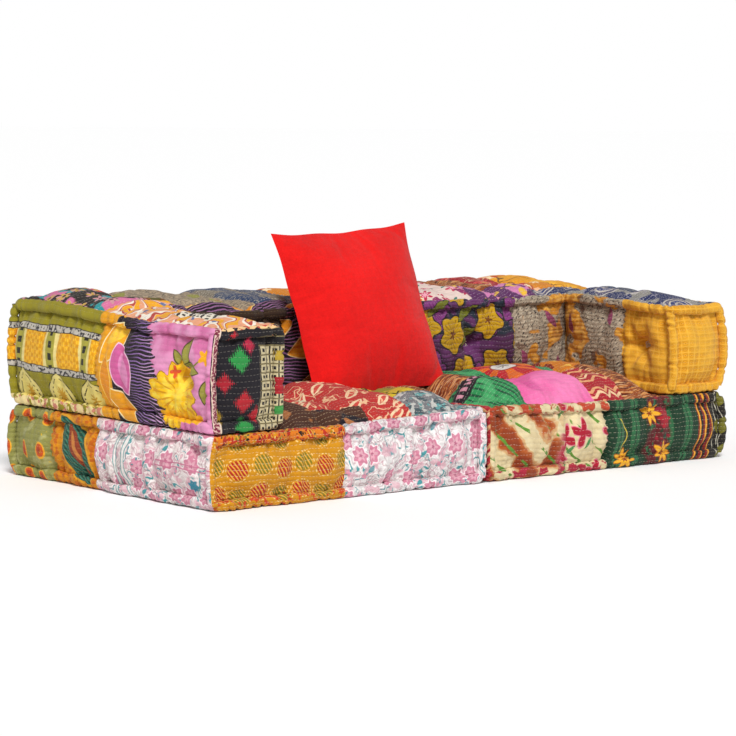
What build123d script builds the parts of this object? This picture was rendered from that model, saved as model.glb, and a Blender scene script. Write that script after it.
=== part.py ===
from build123d import *
import os
from math import cos, radians, sin, sqrt

# Modular pouf sofa. Millimetres, +Z up, seen from the front along +Y with +X to the right.
# The origin is on the floor, under the middle of the sofa.

# Mattresses
seat_width = 1000.0
seat_depth = 1000.0
seat_height = 210.0

# Bolsters: each is one arm and half of the back in one L-shaped piece
arm_width = 250.0
back_depth = 530.0
bolster_height = 290.0
stack_clearance = 0.3

# Cloth, stuffed rolls and twine
cloth_thickness = 3.0
sewing_clearance = 0.3
edge_roll_diameter = 38.0
corner_roll_diameter = 30.0
corner_cut = 26.0
roll_sides = 12
floor_flat_depth = 0.5
twine_diameter = 4.0
knot_diameter = 14.0
knot_height = 5.0

# Form of a block: how far its cloth lies inside the outermost line of its rolls
flat_inset = 52.0
tuck_inset = 34.0
tuck_height = 5.0
seam_inset = 14.0
puff_inset = 8.0
draw_in_share = 0.012
band_height_shares = [0.0, 0.5, 1.0]
band_bulge_shares = [0.0, 1.0, 0.0]
corner_roll_out_share = 0.42

# Crowns: a top panel swells between its rolls and its tufts
seat_crown = 70.0
seat_crown_run = 105.0
bolster_crown = 40.0
bolster_crown_run = 38.0
bay_gap = 12.0
crown_run_shares = [0.0, 0.4, 1.0]
crown_rise_shares = [0.0, 0.7, 1.0]
crown_root = 2.0

# Tufts: places are distances from the outer side and from the front
seat_tuft_pitch = 250.0
seat_tuft_rows = 3
back_tuft_pitch = 250.0
back_tuft_count = 3
arm_tuft_front = 510.0
arm_side_tuft_front = 155.0
back_side_tuft_outer = 625.0
puff_tuft_radius = 92.0
puff_tuft_floor = 7.0
side_tuft_radius = 66.0
side_tuft_depth = 24.0
flat_tuft_radius = 13.0
flat_tuft_depth = 9.0
tuft_mid_share = 0.42
tuft_mid_depth_share = 0.55
tuft_sides = 8
twine_sides = 5
cut_overrun = 2.0

# Scatter cushion
cushion_side = 500.0
cushion_thickness = 150.0
cushion_seam_thickness = 14.0
cushion_cloth = 1.6
cushion_lean = 23.0
cushion_center_x = -149.0
cushion_draw_in_share = 0.05
cushion_end_inset_share = 2.0
cushion_length_shares = [-1.0, -0.86, -0.6, -0.25, 0.25, 0.6, 0.86, 1.0]
cushion_swell_shares = [0.0, 0.42, 0.8, 1.0, 1.0, 0.8, 0.42, 0.0]
cushion_hollow_shares = [0.0, 0.4, 0.75, 1.0, 1.0, 0.75, 0.4, 0.0]

roll_radius = edge_roll_diameter / 2
corner_roll_radius = corner_roll_diameter / 2
filling_inset = cloth_thickness + sewing_clearance
knot_radius = knot_diameter / 2
knot_seat_radius = knot_radius + sewing_clearance
twine_radius = twine_diameter / 2
twine_hole_radius = twine_radius + sewing_clearance
bolster_base = seat_height + stack_clearance

# Plan of the left half, whose mirror image is the right half
outer_x = -seat_width
inner_x = 0.0
front_y = -seat_depth / 2
back_y = seat_depth / 2
arm_inner_x = outer_x + arm_width
back_front_y = back_y - back_depth

seat_plan = [(outer_x, front_y), (inner_x, front_y), (inner_x, back_y), (outer_x, back_y)]
bolster_plan = [
    (outer_x, front_y),
    (arm_inner_x, front_y),
    (arm_inner_x, back_front_y),
    (inner_x, back_front_y),
    (inner_x, back_y),
    (outer_x, back_y),
]


def direction(start, end):
    """The unit step from one plan point to another, and their distance."""
    length = sqrt((end[0] - start[0]) ** 2 + (end[1] - start[1]) ** 2)
    return (end[0] - start[0]) / length, (end[1] - start[1]) / length, length


def inset_corners(plan, inset):
    """Each corner of a plan moved in from its two sides, and whether it is convex."""
    corners = []
    for i, corner in enumerate(plan):
        in_x, in_y, _ = direction(plan[i - 1], corner)
        out_x, out_y, _ = direction(corner, plan[(i + 1) % len(plan)])
        convex = in_x * out_y - in_y * out_x > 0
        x = corner[0] - (in_y + out_y) * inset
        y = corner[1] + (in_x + out_x) * inset
        corners.append((x, y, convex))
    return corners


def outline(plan, inset):
    """The plan moved in, with each side drawn in at its middle and each corner cut."""
    corners = [(x, y) for x, y, _ in inset_corners(plan, inset)]
    bent = []
    for i, start in enumerate(corners):
        end = corners[(i + 1) % len(corners)]
        step_x, step_y, length = direction(start, end)
        draw_in = length * draw_in_share
        middle_x = (start[0] + end[0]) / 2 - step_y * draw_in
        middle_y = (start[1] + end[1]) / 2 + step_x * draw_in
        bent += [start, (middle_x, middle_y)]
    points = []
    for i in range(0, len(bent), 2):
        corner = bent[i]
        for beside in (bent[i - 1], bent[i + 1]):
            step_x, step_y, _ = direction(corner, beside)
            points.append((corner[0] + step_x * corner_cut, corner[1] + step_y * corner_cut))
        points.append(bent[i + 1])
    return points


def section(plan, inset, z):
    points = [(x, y, z) for x, y in outline(plan, inset)]
    return Face(Wire(Polyline(*points, close=True).edges()))


def block_form(plan, base, height, crown, inset):
    """The block inside its cloth, or at inset zero its outer form."""
    low = base + inset
    high = base + height - inset
    band_low = base + edge_roll_diameter
    band_height = height - 2 * edge_roll_diameter
    levels = [(flat_inset, low), (tuck_inset, low + tuck_height)]
    for height_share, bulge_share in zip(band_height_shares, band_bulge_shares):
        side_inset = seam_inset + (puff_inset - seam_inset) * bulge_share
        levels.append((side_inset, band_low + band_height * height_share))
    levels += [(tuck_inset, high - tuck_height), (flat_inset, high)]
    form = loft([section(plan, own + inset, z) for own, z in levels], ruled=True)
    crown_plan, first_inset, rise, run = crown
    sections = [section(crown_plan, first_inset + inset, high - crown_root)]
    for run_share, rise_share in zip(crown_run_shares, crown_rise_shares):
        own_inset = first_inset + inset + run * run_share
        sections.append(section(crown_plan, own_inset, high + rise * rise_share))
    return form + loft(sections, ruled=True)


def edge_roll(plan, z, radius):
    """A stuffed roll round a seam, with its centre line at height z."""
    points = [Vector(x, y, z) for x, y in outline(plan, roll_radius)]
    start = (points[-1] + points[0]) / 2
    path = Wire(Polyline(start, *points, start).edges())
    across = Plane(origin=path @ 0, x_dir=(0, 0, 1), z_dir=path % 0)
    profile = across * RegularPolygon(radius, roll_sides)
    return sweep(profile, path=path, transition=Transition.RIGHT)


def corner_roll_set(plan, low, high, radius):
    """The stuffed vertical seams at the convex corners of a block."""
    own_inset = roll_radius + corner_cut * corner_roll_out_share
    rolls = []
    for x, y, convex in inset_corners(plan, own_inset):
        if convex:
            foot = Pos(x, y, low) * RegularPolygon(radius, roll_sides)
            rolls.append(extrude(foot, high - low))
    return rolls


def pleat_ring(plane, offset, radius, sides):
    return (plane.offset(offset) * RegularPolygon(radius, sides)).face()


def tuft_pit(end, inset):
    """The pit that a tie draws into the cloth. Its plane faces out of the block."""
    plane, radius, depth = end
    puffed = radius > flat_tuft_radius
    sides = tuft_sides if puffed else twine_sides
    rings = [pleat_ring(plane, -depth - inset, knot_seat_radius + inset, sides)]
    if puffed:
        middle = -depth * tuft_mid_depth_share - inset
        rings.append(pleat_ring(plane, middle, radius * tuft_mid_share + inset, sides))
    rings.append(pleat_ring(plane, cut_overrun, radius + inset, sides))
    return loft(rings, ruled=True)


def between(start, end, radius):
    """A straight bar between two points."""
    axis = Plane(origin=start, z_dir=end - start)
    return extrude(axis * RegularPolygon(radius, twine_sides), (end - start).length)


def twine_tie(ends):
    """Twine drawn tight through the block, with a knot in the pit at each end."""
    seats = [plane.offset(sewing_clearance - depth) for plane, _, depth in ends]
    tie = between(seats[0].origin, seats[1].origin, twine_radius)
    for seat in seats:
        tie += extrude(seat * RegularPolygon(knot_radius, twine_sides), knot_height)
    return tie


def twine_hole(ends):
    floors = [plane.offset(cut_overrun - depth) for plane, _, depth in ends]
    return between(floors[0].origin, floors[1].origin, twine_hole_radius)


def upright_tie(x, y, base, top, top_radius, top_depth):
    above = Plane(origin=(x, y, top), z_dir=(0, 0, 1))
    below = Plane(origin=(x, y, base), z_dir=(0, 0, -1))
    return [(above, top_radius, top_depth), (below, flat_tuft_radius, flat_tuft_depth)]


def level_tie(start, end):
    """A tie at half height from one side face to the opposite one."""
    ends = []
    for own, other in ((start, end), (end, start)):
        plane = Plane(origin=own, z_dir=Vector(*own) - Vector(*other))
        ends.append((plane, side_tuft_radius, side_tuft_depth))
    return ends


def seat_ties():
    """A square grid of ties. Those in the open bay draw its crown down into puffs."""
    ties = []
    for column in range(seat_tuft_rows):
        for row in range(seat_tuft_rows):
            x = outer_x + seat_tuft_pitch * (column + 1)
            y = front_y + seat_tuft_pitch * (row + 1)
            in_bay = x > arm_inner_x + puff_tuft_radius and y < back_front_y - puff_tuft_radius
            if in_bay:
                top = seat_height + seat_crown
                depth = seat_crown + puff_tuft_floor
                ties.append(upright_tie(x, y, 0, top, puff_tuft_radius, depth))
            else:
                ties.append(upright_tie(x, y, 0, seat_height, flat_tuft_radius, flat_tuft_depth))
    return ties


def bolster_ties():
    """Upright ties along the back and in the arm, and level ones through each leg."""
    top = bolster_base + bolster_height + bolster_crown
    depth = bolster_crown + puff_tuft_floor
    back_row_y = (back_front_y + back_y) / 2
    arm_row_x = (outer_x + arm_inner_x) / 2
    middle_z = bolster_base + bolster_height / 2
    places = [(arm_row_x, front_y + arm_tuft_front)]
    for i in range(back_tuft_count):
        places.append((outer_x + back_tuft_pitch * (i + 1), back_row_y))
    ties = []
    for x, y in places:
        ties.append(upright_tie(x, y, bolster_base, top, puff_tuft_radius, depth))
    arm_y = front_y + arm_side_tuft_front
    back_x = outer_x + back_side_tuft_outer
    ties.append(
        level_tie(
            (outer_x + puff_inset, arm_y, middle_z),
            (arm_inner_x - puff_inset, arm_y, middle_z),
        )
    )
    ties.append(
        level_tie(
            (back_x, back_front_y + puff_inset, middle_z),
            (back_x, back_y - puff_inset, middle_z),
        )
    )
    return ties


def carve(shape, tool_sets):
    """The shape less its grooves and holes, one set of like tools after another."""
    for tools in tool_sets:
        shape -= tools
    return shape


def group(shapes):
    solids = [solid for shape in shapes for solid in shape.solids()]
    return Compound(children=solids) if len(solids) > 1 else solids[0]


def block_pieces(plan, base, height, crown, ties):
    """All pieces of one mattress or bolster, by name."""
    forms = []
    for inset in (0, cloth_thickness, filling_inset):
        form = block_form(plan, base, height, crown, inset)
        forms.append(form - [tuft_pit(end, inset) for tie in ties for end in tie])
    outer, lining, core = forms

    low_z = base + roll_radius - floor_flat_depth
    high_z = base + height - roll_radius
    groove_radius = roll_radius + sewing_clearance
    edge_grooves = [edge_roll(plan, z, groove_radius) for z in (low_z, high_z)]
    corner_grooves = corner_roll_set(plan, low_z, high_z, corner_roll_radius + sewing_clearance)
    holes = [twine_hole(tie) for tie in ties]
    cuts = (edge_grooves, corner_grooves, holes)

    panels = sorted(carve(outer - lining, cuts).solids(), key=lambda solid: solid.center().Z)
    flat_cut = Pos(0, 0, base) * Box(
        2 * seat_width, 2 * seat_depth, 2 * cut_overrun, align=(Align.MAX, Align.CENTER, Align.MAX)
    )
    rolls = corner_roll_set(plan, low_z, high_z, corner_roll_radius)
    rolls = [carve(roll, [edge_grooves]) for roll in rolls]
    return {
        "top_panel": panels[-1],
        "side_panels": group(panels[1:-1]),
        "bottom_panel": panels[0],
        "top_edge_roll": edge_roll(plan, high_z, roll_radius),
        "bottom_edge_roll": edge_roll(plan, low_z, roll_radius) - flat_cut,
        "corner_rolls": group(rolls),
        "cotton_filling": carve(core, cuts),
        "tufting_ties": group([twine_tie(tie) for tie in ties]),
    }


def cushion_form(inset):
    """A knife-edged cushion in its own plane: X along it, Y up it, Z out of its front."""
    sections = []
    half_side = cushion_side / 2
    shares = zip(cushion_length_shares, cushion_swell_shares, cushion_hollow_shares)
    for length_share, swell_share, hollow_share in shares:
        swell = (cushion_thickness - cushion_seam_thickness) * swell_share
        half_thickness = (cushion_seam_thickness + swell) / 2 - inset
        half_height = half_side * (1 - cushion_draw_in_share * hollow_share)
        half_height -= inset * cushion_end_inset_share
        x = (half_side - inset) * length_share
        low, high = (x, -half_height, 0), (x, half_height, 0)
        front = ThreePointArc(low, (x, 0, half_thickness), high)
        back = ThreePointArc(high, (x, 0, -half_thickness), low)
        sections.append(Face(Wire([front.edge(), back.edge()])))
    return loft(sections, ruled=True)


def cushion_plane():
    """Where the cushion leans: its lower seam on the crown, its back on the bolster."""
    lean = radians(cushion_lean)
    half_height = cushion_side / 2
    middle_half_height = half_height * (1 - cushion_draw_in_share)
    center_z = seat_height + seat_crown + stack_clearance + half_height * cos(lean)
    center_z += cushion_seam_thickness / 2 * sin(lean)
    half_thickness = cushion_thickness / 2
    arc_radius = (middle_half_height**2 + half_thickness**2) / (2 * half_thickness)
    flat_end_x = cushion_center_x - min(
        share for share, swell in zip(cushion_length_shares, cushion_swell_shares) if swell == 1
    ) * half_height
    roll_draw_in = 2 * draw_in_share * (inner_x - roll_radius - flat_end_x)
    roll_y = back_front_y + roll_radius + roll_draw_in
    roll_z = bolster_base + bolster_height - roll_radius
    reach = arc_radius + roll_radius + stack_clearance
    arc_offset = arc_radius - half_thickness
    arc_z = center_z + arc_offset * sin(lean)
    arc_y = roll_y - sqrt(reach**2 - (arc_z - roll_z) ** 2)
    center_y = arc_y + arc_offset * cos(lean)
    return Plane(
        origin=(cushion_center_x, center_y, center_z),
        x_dir=(1, 0, 0),
        z_dir=(0, -cos(lean), sin(lean)),
    )


def cushion_pieces():
    """Two cloth panels sewn together at their edges, and the stuffed pad inside them."""
    place = cushion_plane()
    cover = cushion_form(0) - cushion_form(cushion_cloth)
    beyond = (cushion_side * 2, cushion_side * 2, cushion_side)
    front_half = Box(*beyond, align=(Align.CENTER, Align.CENTER, Align.MIN))
    back_half = Box(*beyond, align=(Align.CENTER, Align.CENTER, Align.MAX))
    return {
        "cushion_front_panel": place * (cover & front_half),
        "cushion_back_panel": place * (cover & back_half),
        "cushion_insert": place * cushion_form(cushion_cloth + sewing_clearance),
    }


bay_plan = [
    (arm_inner_x, front_y + flat_inset - bay_gap),
    (inner_x - flat_inset + bay_gap, front_y + flat_inset - bay_gap),
    (inner_x - flat_inset + bay_gap, back_front_y),
    (arm_inner_x, back_front_y),
]
seat_crown_form = (bay_plan, bay_gap, seat_crown, seat_crown_run)
bolster_crown_form = (bolster_plan, flat_inset, bolster_crown, bolster_crown_run)

blocks = {
    "seat": block_pieces(seat_plan, 0, seat_height, seat_crown_form, seat_ties()),
    "bolster": block_pieces(
        bolster_plan, bolster_base, bolster_height, bolster_crown_form, bolster_ties()
    ),
}

os.makedirs("parts", exist_ok=True)
for block, pieces in blocks.items():
    for piece, shape in pieces.items():
        export_step(shape, f"parts/left_{block}_{piece}.step")
        export_step(mirror(shape, about=Plane.YZ), f"parts/right_{block}_{piece}.step")
for piece, shape in cushion_pieces().items():
    export_step(shape, f"parts/{piece}.step")
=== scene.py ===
from collections import namedtuple
from math import cos, pi, radians, sin, tau

import bpy
import numpy as np
from mathutils import Matrix, Vector


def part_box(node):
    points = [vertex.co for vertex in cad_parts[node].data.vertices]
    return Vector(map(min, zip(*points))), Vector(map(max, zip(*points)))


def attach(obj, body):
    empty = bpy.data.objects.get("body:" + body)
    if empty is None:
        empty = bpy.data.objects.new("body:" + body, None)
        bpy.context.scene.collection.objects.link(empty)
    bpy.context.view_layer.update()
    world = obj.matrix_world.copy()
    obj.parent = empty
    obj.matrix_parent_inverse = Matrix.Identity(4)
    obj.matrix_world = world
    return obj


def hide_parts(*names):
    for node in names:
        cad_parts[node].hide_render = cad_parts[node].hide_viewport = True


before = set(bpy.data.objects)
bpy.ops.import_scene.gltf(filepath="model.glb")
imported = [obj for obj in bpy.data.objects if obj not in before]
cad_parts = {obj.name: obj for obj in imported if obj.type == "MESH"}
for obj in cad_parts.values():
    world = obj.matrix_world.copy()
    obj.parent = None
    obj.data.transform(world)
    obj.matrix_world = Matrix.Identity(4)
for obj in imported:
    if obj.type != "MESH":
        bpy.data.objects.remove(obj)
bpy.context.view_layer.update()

# Modular pouf sofa. Metres, in the row frame: +Z up, and the front looks along -Y.

ARM_WIDTH = 0.250
BACK_FRONT_Y = -0.030
SEAT_PLAN = [(-1.0, -0.5), (0.0, -0.5), (0.0, 0.5), (-1.0, 0.5)]
BOLSTER_PLAN = [
    (-1.0, -0.5),
    (ARM_WIDTH - 1.0, -0.5),
    (ARM_WIDTH - 1.0, BACK_FRONT_Y),
    (0.0, BACK_FRONT_Y),
    (0.0, 0.5),
    (-1.0, 0.5),
]
SEAT_BASE, SEAT_HEIGHT = 0.0, 0.210
BOLSTER_BASE, BOLSTER_HEIGHT = 0.2103, 0.290
SAME_PLACE = 0.001

# Rolls, and the hand stitches that draw them in
ROLL_RADIUS, ROLL_BEND = 0.0170, 0.026
ROLL_STEP, ROLL_SIDES = 0.005, 20
ROLL_SQUASH, CONTACT_SQUASH = 0.82, 0.5
ROLL_WANDER = 0.011
ROLL_SEAM_ANGLE = radians(82)
CORNER_ROLL_RADIUS, CORNER_ROLL_INSET = 0.0145, 0.0175
CORNER_ROLL_STEP, CORNER_ROLL_SIDES = 0.004, 16
PINCH_PITCH, PINCH_JITTER = 0.029, 0.22
TIGHT_SHARE, TIGHT_PULL, LOOSE_PULL = 0.34, (1.5, 2.3), (0.25, 0.7)
BEAD_DEPTH = 0.23
STITCH_SLANT, CORNER_STITCH_SLANT = 0.006, 0.004

# Sheets of cloth and their simulation
CELL = 0.0125
TOP_INSET, TOP_DROP, UNDERSIDE_RISE = 0.022, 0.014, 0.001
SIDE_INSET, SIDE_DROP, SIDE_END = 0.0255, 0.0235, 0.0255
# Sides lie one after another along u in the map, this far apart
SIDE_STRIDE = 10.0
SIM_FRAMES, SIM_CAP = 20, 0.05
TOP_FULLNESS, SEAT_SIDE_FULLNESS, BOLSTER_SIDE_FULLNESS = 0.06, 0.055, 0.028
CLOTH_SETTINGS = {
    "quality": 6,
    "mass": 0.3,
    "tension_stiffness": 25,
    "compression_stiffness": 25,
    "shear_stiffness": 8,
    "bending_stiffness": 0.15,
    "air_damping": 1,
    "vertex_group_mass": "held",
    "use_pressure": True,
    "uniform_pressure_force": 5,
    "vertex_group_shrink": "sides",
}

# Ridges at stitches, folds and seams of the cloths
SIDE_RIDGE, RIDGE_FADE, TOP_RIDGE = 0.0030, 0.035, 0.0028
FOLD_WIDTHS, FOLD_DEPTHS, FOLD_SPACES = (0.009, 0.016), (0.007, 0.015), (0.05, 0.13)
SIDE_SEAM_DEPTH, SIDE_SEAM_WIDTH = 0.011, 0.012
TOP_SEAM_DEPTH, TOP_SEAM_WIDTH = 0.005, 0.0075
PUCKER_PITCH = 0.019
SIDE_CROWN = 0.010

# Tufts, ties and the tuck in the inner corner of a bolster
TUFT_HOLD = 0.009
BAY_TUFT_FLOOR, COVERED_TUFT_FLOOR, BOLSTER_TUFT_DROP = 0.243, 0.198, 0.008
ARM_TUFT_Y, BACK_TUFT_X = -0.345, -0.375
SIDE_TUFT_DEPTH = 0.044
SIDE_KNOT_DEPTH = SIDE_TUFT_DEPTH * 1.3
SIDE_TUFT_REACH, TOP_TUFT_REACH = 0.045, 0.03
TUCK_DEPTH, TUCK_REACH, BRIDGE = 0.095, 0.06, 0.026
KNOT_SIZE, KNOT_RISE = 0.0055, 0.004
KNOT_TWINE, TIE_TWINE, TWINE_SIDES = 0.0017, 0.0018, 8
# No twine runs along this direction
TWINE_REFERENCE = (0.3, 0.2, 0.93)

# The shape of the stuffed blocks
BAY_CROWN = {"left_seat": 0.042, "right_seat": 0.058}
BAY_RISE = 0.115
SIDE_SWELL, SOFT_STOP = 0.010, 0.008
CLEAR_OF_NEIGHBOUR, CLEAR_OF_BOLSTER, LOWEST = 0.002, 0.002, 0.0004
UNEVEN = 0.006
BARREL = 0.018
MIDDLE_RAISE, REAR_RAISE, ARM_SAG = 0.014, 0.024, 0.013

CUSHION_SIDE = 0.52
CUSHION_CELLS = 44
CUSHION_DRAW_IN, CUSHION_SWELL, CUSHION_FULLNESS = 0.05, 0.05, 0.03
CUSHION_LEAN, CUSHION_TILT = radians(20.5), radians(2.5)
CUSHION_SHIFT = (-0.004, 0, -0.028)

# Camera and lights, fitted to the photograph
CAMERA_YAW, CAMERA_PITCH, CAMERA_ROLL = radians(39.91), radians(5.492), radians(0.42)
CAMERA_PLACE = (-5.507, -6.535, 1.120)
CAMERA_FOCUS_PIXELS, PHOTO_PIXELS = 2816.5, 736
KEY_ENERGY, KEY_SPREAD, KEY_TURN = 2.75, radians(16), (radians(42), 0, radians(-32))
SKY_STRENGTH = 0.4
FLOOR_REACH = 90


# Plans of the blocks and lines that follow them


def mirrored(plan):
    return [(-x, y) for x, y in reversed(plan)]


def left_of(way):
    return np.array([-way[1], way[0]])


def corner_steps(plan):
    """Each corner of a plan with the unit steps before and after it, and whether it is convex."""
    steps = []
    for i, corner in enumerate(plan):
        before = np.subtract(corner, plan[i - 1])
        after = np.subtract(plan[(i + 1) % len(plan)], corner)
        before, after = before / np.linalg.norm(before), after / np.linalg.norm(after)
        steps.append((np.array(corner), before, after, left_of(before) @ after > 0))
    return steps


class Ring:
    """A closed line inside a plan with rounded corners. Each of its points has an outward
    direction, the side of the plan that it belongs to and its distance along that side."""

    def __init__(self, plan, inset, bend, step):
        points, outs, sides, along = [], [], [], []
        steps = corner_steps(plan)
        for i, (corner, before, after, _) in enumerate(steps):
            tip = corner + (left_of(before) + left_of(after)) * inset
            center = tip + (after - before) * bend
            out_before, out_after = -left_of(before), -left_of(after)
            count = round(bend * pi / 2 / step)
            for k in range(count):
                angle = pi / 2 * k / count
                points.append(center - after * bend * cos(angle) + before * bend * sin(angle))
                outs.append(out_before * cos(angle) + out_after * sin(angle))
                first_half = k * 2 < count
                sides.append((i - 1) % len(plan) if first_half else i)
                reach = (tip - before * bend - plan[i - 1]) @ before + bend * angle
                arrive = (tip + after * bend - corner) @ after - bend * (pi / 2 - angle)
                along.append(reach if first_half else arrive)
            start = tip + after * bend
            following, _, onward, _ = steps[(i + 1) % len(plan)]
            stop = following + (left_of(after) + left_of(onward)) * inset - after * bend
            run = np.linalg.norm(stop - start)
            count = round(run / step)
            for k in range(count):
                point = start + after * run * k / count
                points.append(point)
                outs.append(out_after)
                sides.append(i)
                along.append((point - corner) @ after)
        self.points, self.outs = np.array(points), np.array(outs)
        self.sides, self.along = np.array(sides), np.array(along)
        gaps = np.linalg.norm(np.roll(self.points, -1, 0) - self.points, axis=1)
        self.travel = np.concatenate([[0], np.cumsum(gaps)[:-1]])
        self.length = gaps.sum()

    def nearest(self, xy):
        """For each plan point, the place along the ring and the distance to it."""
        travel, away = np.empty(len(xy)), np.empty(len(xy))
        at_once = 2000
        for start in range(0, len(xy), at_once):
            part = slice(start, start + at_once)
            gap = ((xy[part, None] - self.points[None]) ** 2).sum(2)
            travel[part] = self.travel[gap.argmin(1)]
            away[part] = np.sqrt(gap.min(1))
        return travel, away


class Pinches:
    """Hand stitches that draw a roll in, at uneven places along a closed length."""

    def __init__(self, length, seed):
        rng = np.random.default_rng(seed)
        count = round(length / PINCH_PITCH)
        jitter = rng.uniform(-PINCH_JITTER, PINCH_JITTER, count)
        at = (np.arange(count) + jitter) * length / count
        self.at = np.concatenate([[at[-1] - length], at, [at[0] + length]])
        self.length = length
        is_tight = rng.uniform(size=len(self.at)) < TIGHT_SHARE
        tight = rng.uniform(*TIGHT_PULL, len(self.at))
        self.pull = np.where(is_tight, tight, rng.uniform(*LOOSE_PULL, len(self.at)))

    def share(self, travel):
        """How far a place is from one stitch, at 0, to the next, at 1, and how tight they are."""
        travel = np.mod(travel - self.at[1], self.length) + self.at[1]
        index = np.clip(np.searchsorted(self.at, travel, "right") - 1, 0, len(self.at) - 2)
        share = (travel - self.at[index]) / (self.at[index + 1] - self.at[index])
        share = np.clip(share, 0, 1)
        return share, self.pull[index] * (1 - share) + self.pull[index + 1] * share


def smoothstep(value, low, high):
    t = np.clip((value - low) / (high - low), 0, 1)
    return t * t * (3 - 2 * t)


def waves(points, seed, length, count=5):
    """A wandering value from -1 to 1 at each point, with waves of about that length."""
    rng = np.random.default_rng(seed)
    total = np.zeros(len(points))
    for _ in range(count):
        way = rng.normal(size=points.shape[1])
        way *= tau / length * rng.uniform(0.6, 1.4) / np.linalg.norm(way)
        total += np.sin(points @ way + rng.uniform(0, tau))
    return total / count


# Meshes. A sheet of cloth is a grid whose flat places are kept as a UV map named cloth

Sheet = namedtuple("Sheet", "kind side flat faces points pinned")


def runs(*stops):
    """Places from the first stop to the last, about a cell apart, with each stop among them."""
    places = [stops[0]]
    for start, stop in zip(stops, stops[1:]):
        places += list(np.linspace(start, stop, max(1, round((stop - start) / CELL)) + 1)[1:])
    return np.array(places)


def grid(us, vs, keep=None):
    """Flat places of a grid, its faces, and which of its points lie on its edge."""
    flat = np.stack(np.meshgrid(us, vs, indexing="ij"), -1).reshape(-1, 2)
    rows = len(vs)
    i, j = np.meshgrid(np.arange(len(us) - 1), np.arange(rows - 1), indexing="ij")
    corner = (i * rows + j).ravel()
    faces = np.stack([corner, corner + rows, corner + rows + 1, corner + 1], 1)
    if keep is not None:
        faces = faces[keep(flat[faces].mean(1))]
    used = np.bincount(faces.ravel(), minlength=len(flat))
    index = np.cumsum(used > 0) - 1
    return flat[used > 0], index[faces], (used < 4)[used > 0]


def new_mesh(name, points, faces):
    mesh = bpy.data.meshes.new(name)
    mesh.from_pydata(np.asarray(points).tolist(), [], np.asarray(faces).tolist())
    mesh.update()
    obj = bpy.data.objects.new(name, mesh)
    bpy.context.scene.collection.objects.link(obj)
    return obj


def join(parts):
    """Points and faces of several meshes as one, and where the points of each part start."""
    starts = np.cumsum([0] + [len(points) for points, _ in parts])
    faces = np.concatenate([faces + start for (_, faces), start in zip(parts, starts)])
    return np.concatenate([points for points, _ in parts]), faces, starts


def tube_faces(count, sides, closed, along_first=False):
    """Faces between rings of points. Their corners go round the tube first, or along it."""
    i, j = np.meshgrid(np.arange(count if closed else count - 1), np.arange(sides), indexing="ij")
    next_i, next_j = (i + 1) % count * sides, (j + 1) % sides
    i = i * sides
    corners = [i + j, i + next_j, next_i + next_j, next_i + j]
    if along_first:
        corners = [i + j, next_i + j, next_i + next_j, i + next_j]
    return np.stack(corners, -1).reshape(-1, 4)


def read(items, key, width, kind=np.float32):
    values = np.empty(len(items) * width, kind)
    items.foreach_get(key, values)
    return values.reshape(-1, width)


def read_points(mesh):
    return read(mesh.vertices, "co", 3).astype(float)


def write_points(mesh, points):
    mesh.vertices.foreach_set("co", np.asarray(points, np.float32).ravel())
    mesh.update()


def set_map(obj, corner_places):
    layers = obj.data.uv_layers
    layer = layers.get("cloth") or layers.new(name="cloth")
    layer.uv.foreach_set("vector", np.asarray(corner_places, np.float32).ravel())


def read_map(mesh):
    """The map's place at each corner of each face."""
    return read(mesh.uv_layers["cloth"].uv, "vector", 2)


def vertex_map(mesh):
    places = np.zeros((len(mesh.vertices), 2))
    places[read(mesh.loops, "vertex_index", 1, np.int32)[:, 0]] = read_map(mesh)
    return places


def face_map(mesh):
    """The map's place at the middle of each face."""
    sizes = read(mesh.polygons, "loop_total", 1, np.int32)
    total = np.zeros((len(sizes), 2))
    np.add.at(total, np.repeat(np.arange(len(sizes)), sizes[:, 0]), read_map(mesh).astype(float))
    return total / sizes


def refine(obj):
    """One smooth subdivision, kept in the mesh."""
    modifier = obj.modifiers.new("smooth", "SUBSURF")
    modifier.levels = 1
    modifier.boundary_smooth = "PRESERVE_CORNERS"
    evaluated = obj.evaluated_get(bpy.context.evaluated_depsgraph_get())
    mesh = bpy.data.meshes.new_from_object(evaluated)
    old = obj.data
    obj.modifiers.clear()
    obj.data = mesh
    bpy.data.meshes.remove(old)
    mesh.name = obj.name


def paint(obj, face_materials, names):
    """Give the faces of a piece the cloths that their numbers stand for, in those names."""
    for name in names:
        obj.data.materials.append(cloths[name])
    obj.data.polygons.foreach_set("material_index", np.asarray(face_materials, np.int32))
    obj.data.polygons.foreach_set("use_smooth", np.full(len(obj.data.polygons), True))
    obj.data.update()


# Cloths: one procedural material for each kind of patch

THREAD_PITCH = 0.0011
STITCH_PITCH, STITCH_HALF_LENGTH, STITCH_HALF_WIDTH = 0.0105, 0.0031, 0.00055
STITCH_CONTRAST = 0.62
BUMP_STRENGTH, BUMP_DISTANCE = 0.75, 0.0016
# Sockets of a Mix node that mixes colours
MIX_SHARE, MIX_FIRST, MIX_SECOND, MIX_RESULT = 0, 6, 7, 2


def tint(code):
    """Linear colour from a screen colour code."""
    channels = [int(code[i:i + 2], 16) / 255 for i in (0, 2, 4)]
    return [*(x / 12.92 if x < 0.0405 else ((x + 0.055) / 1.055) ** 2.4 for x in channels), 1]


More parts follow.
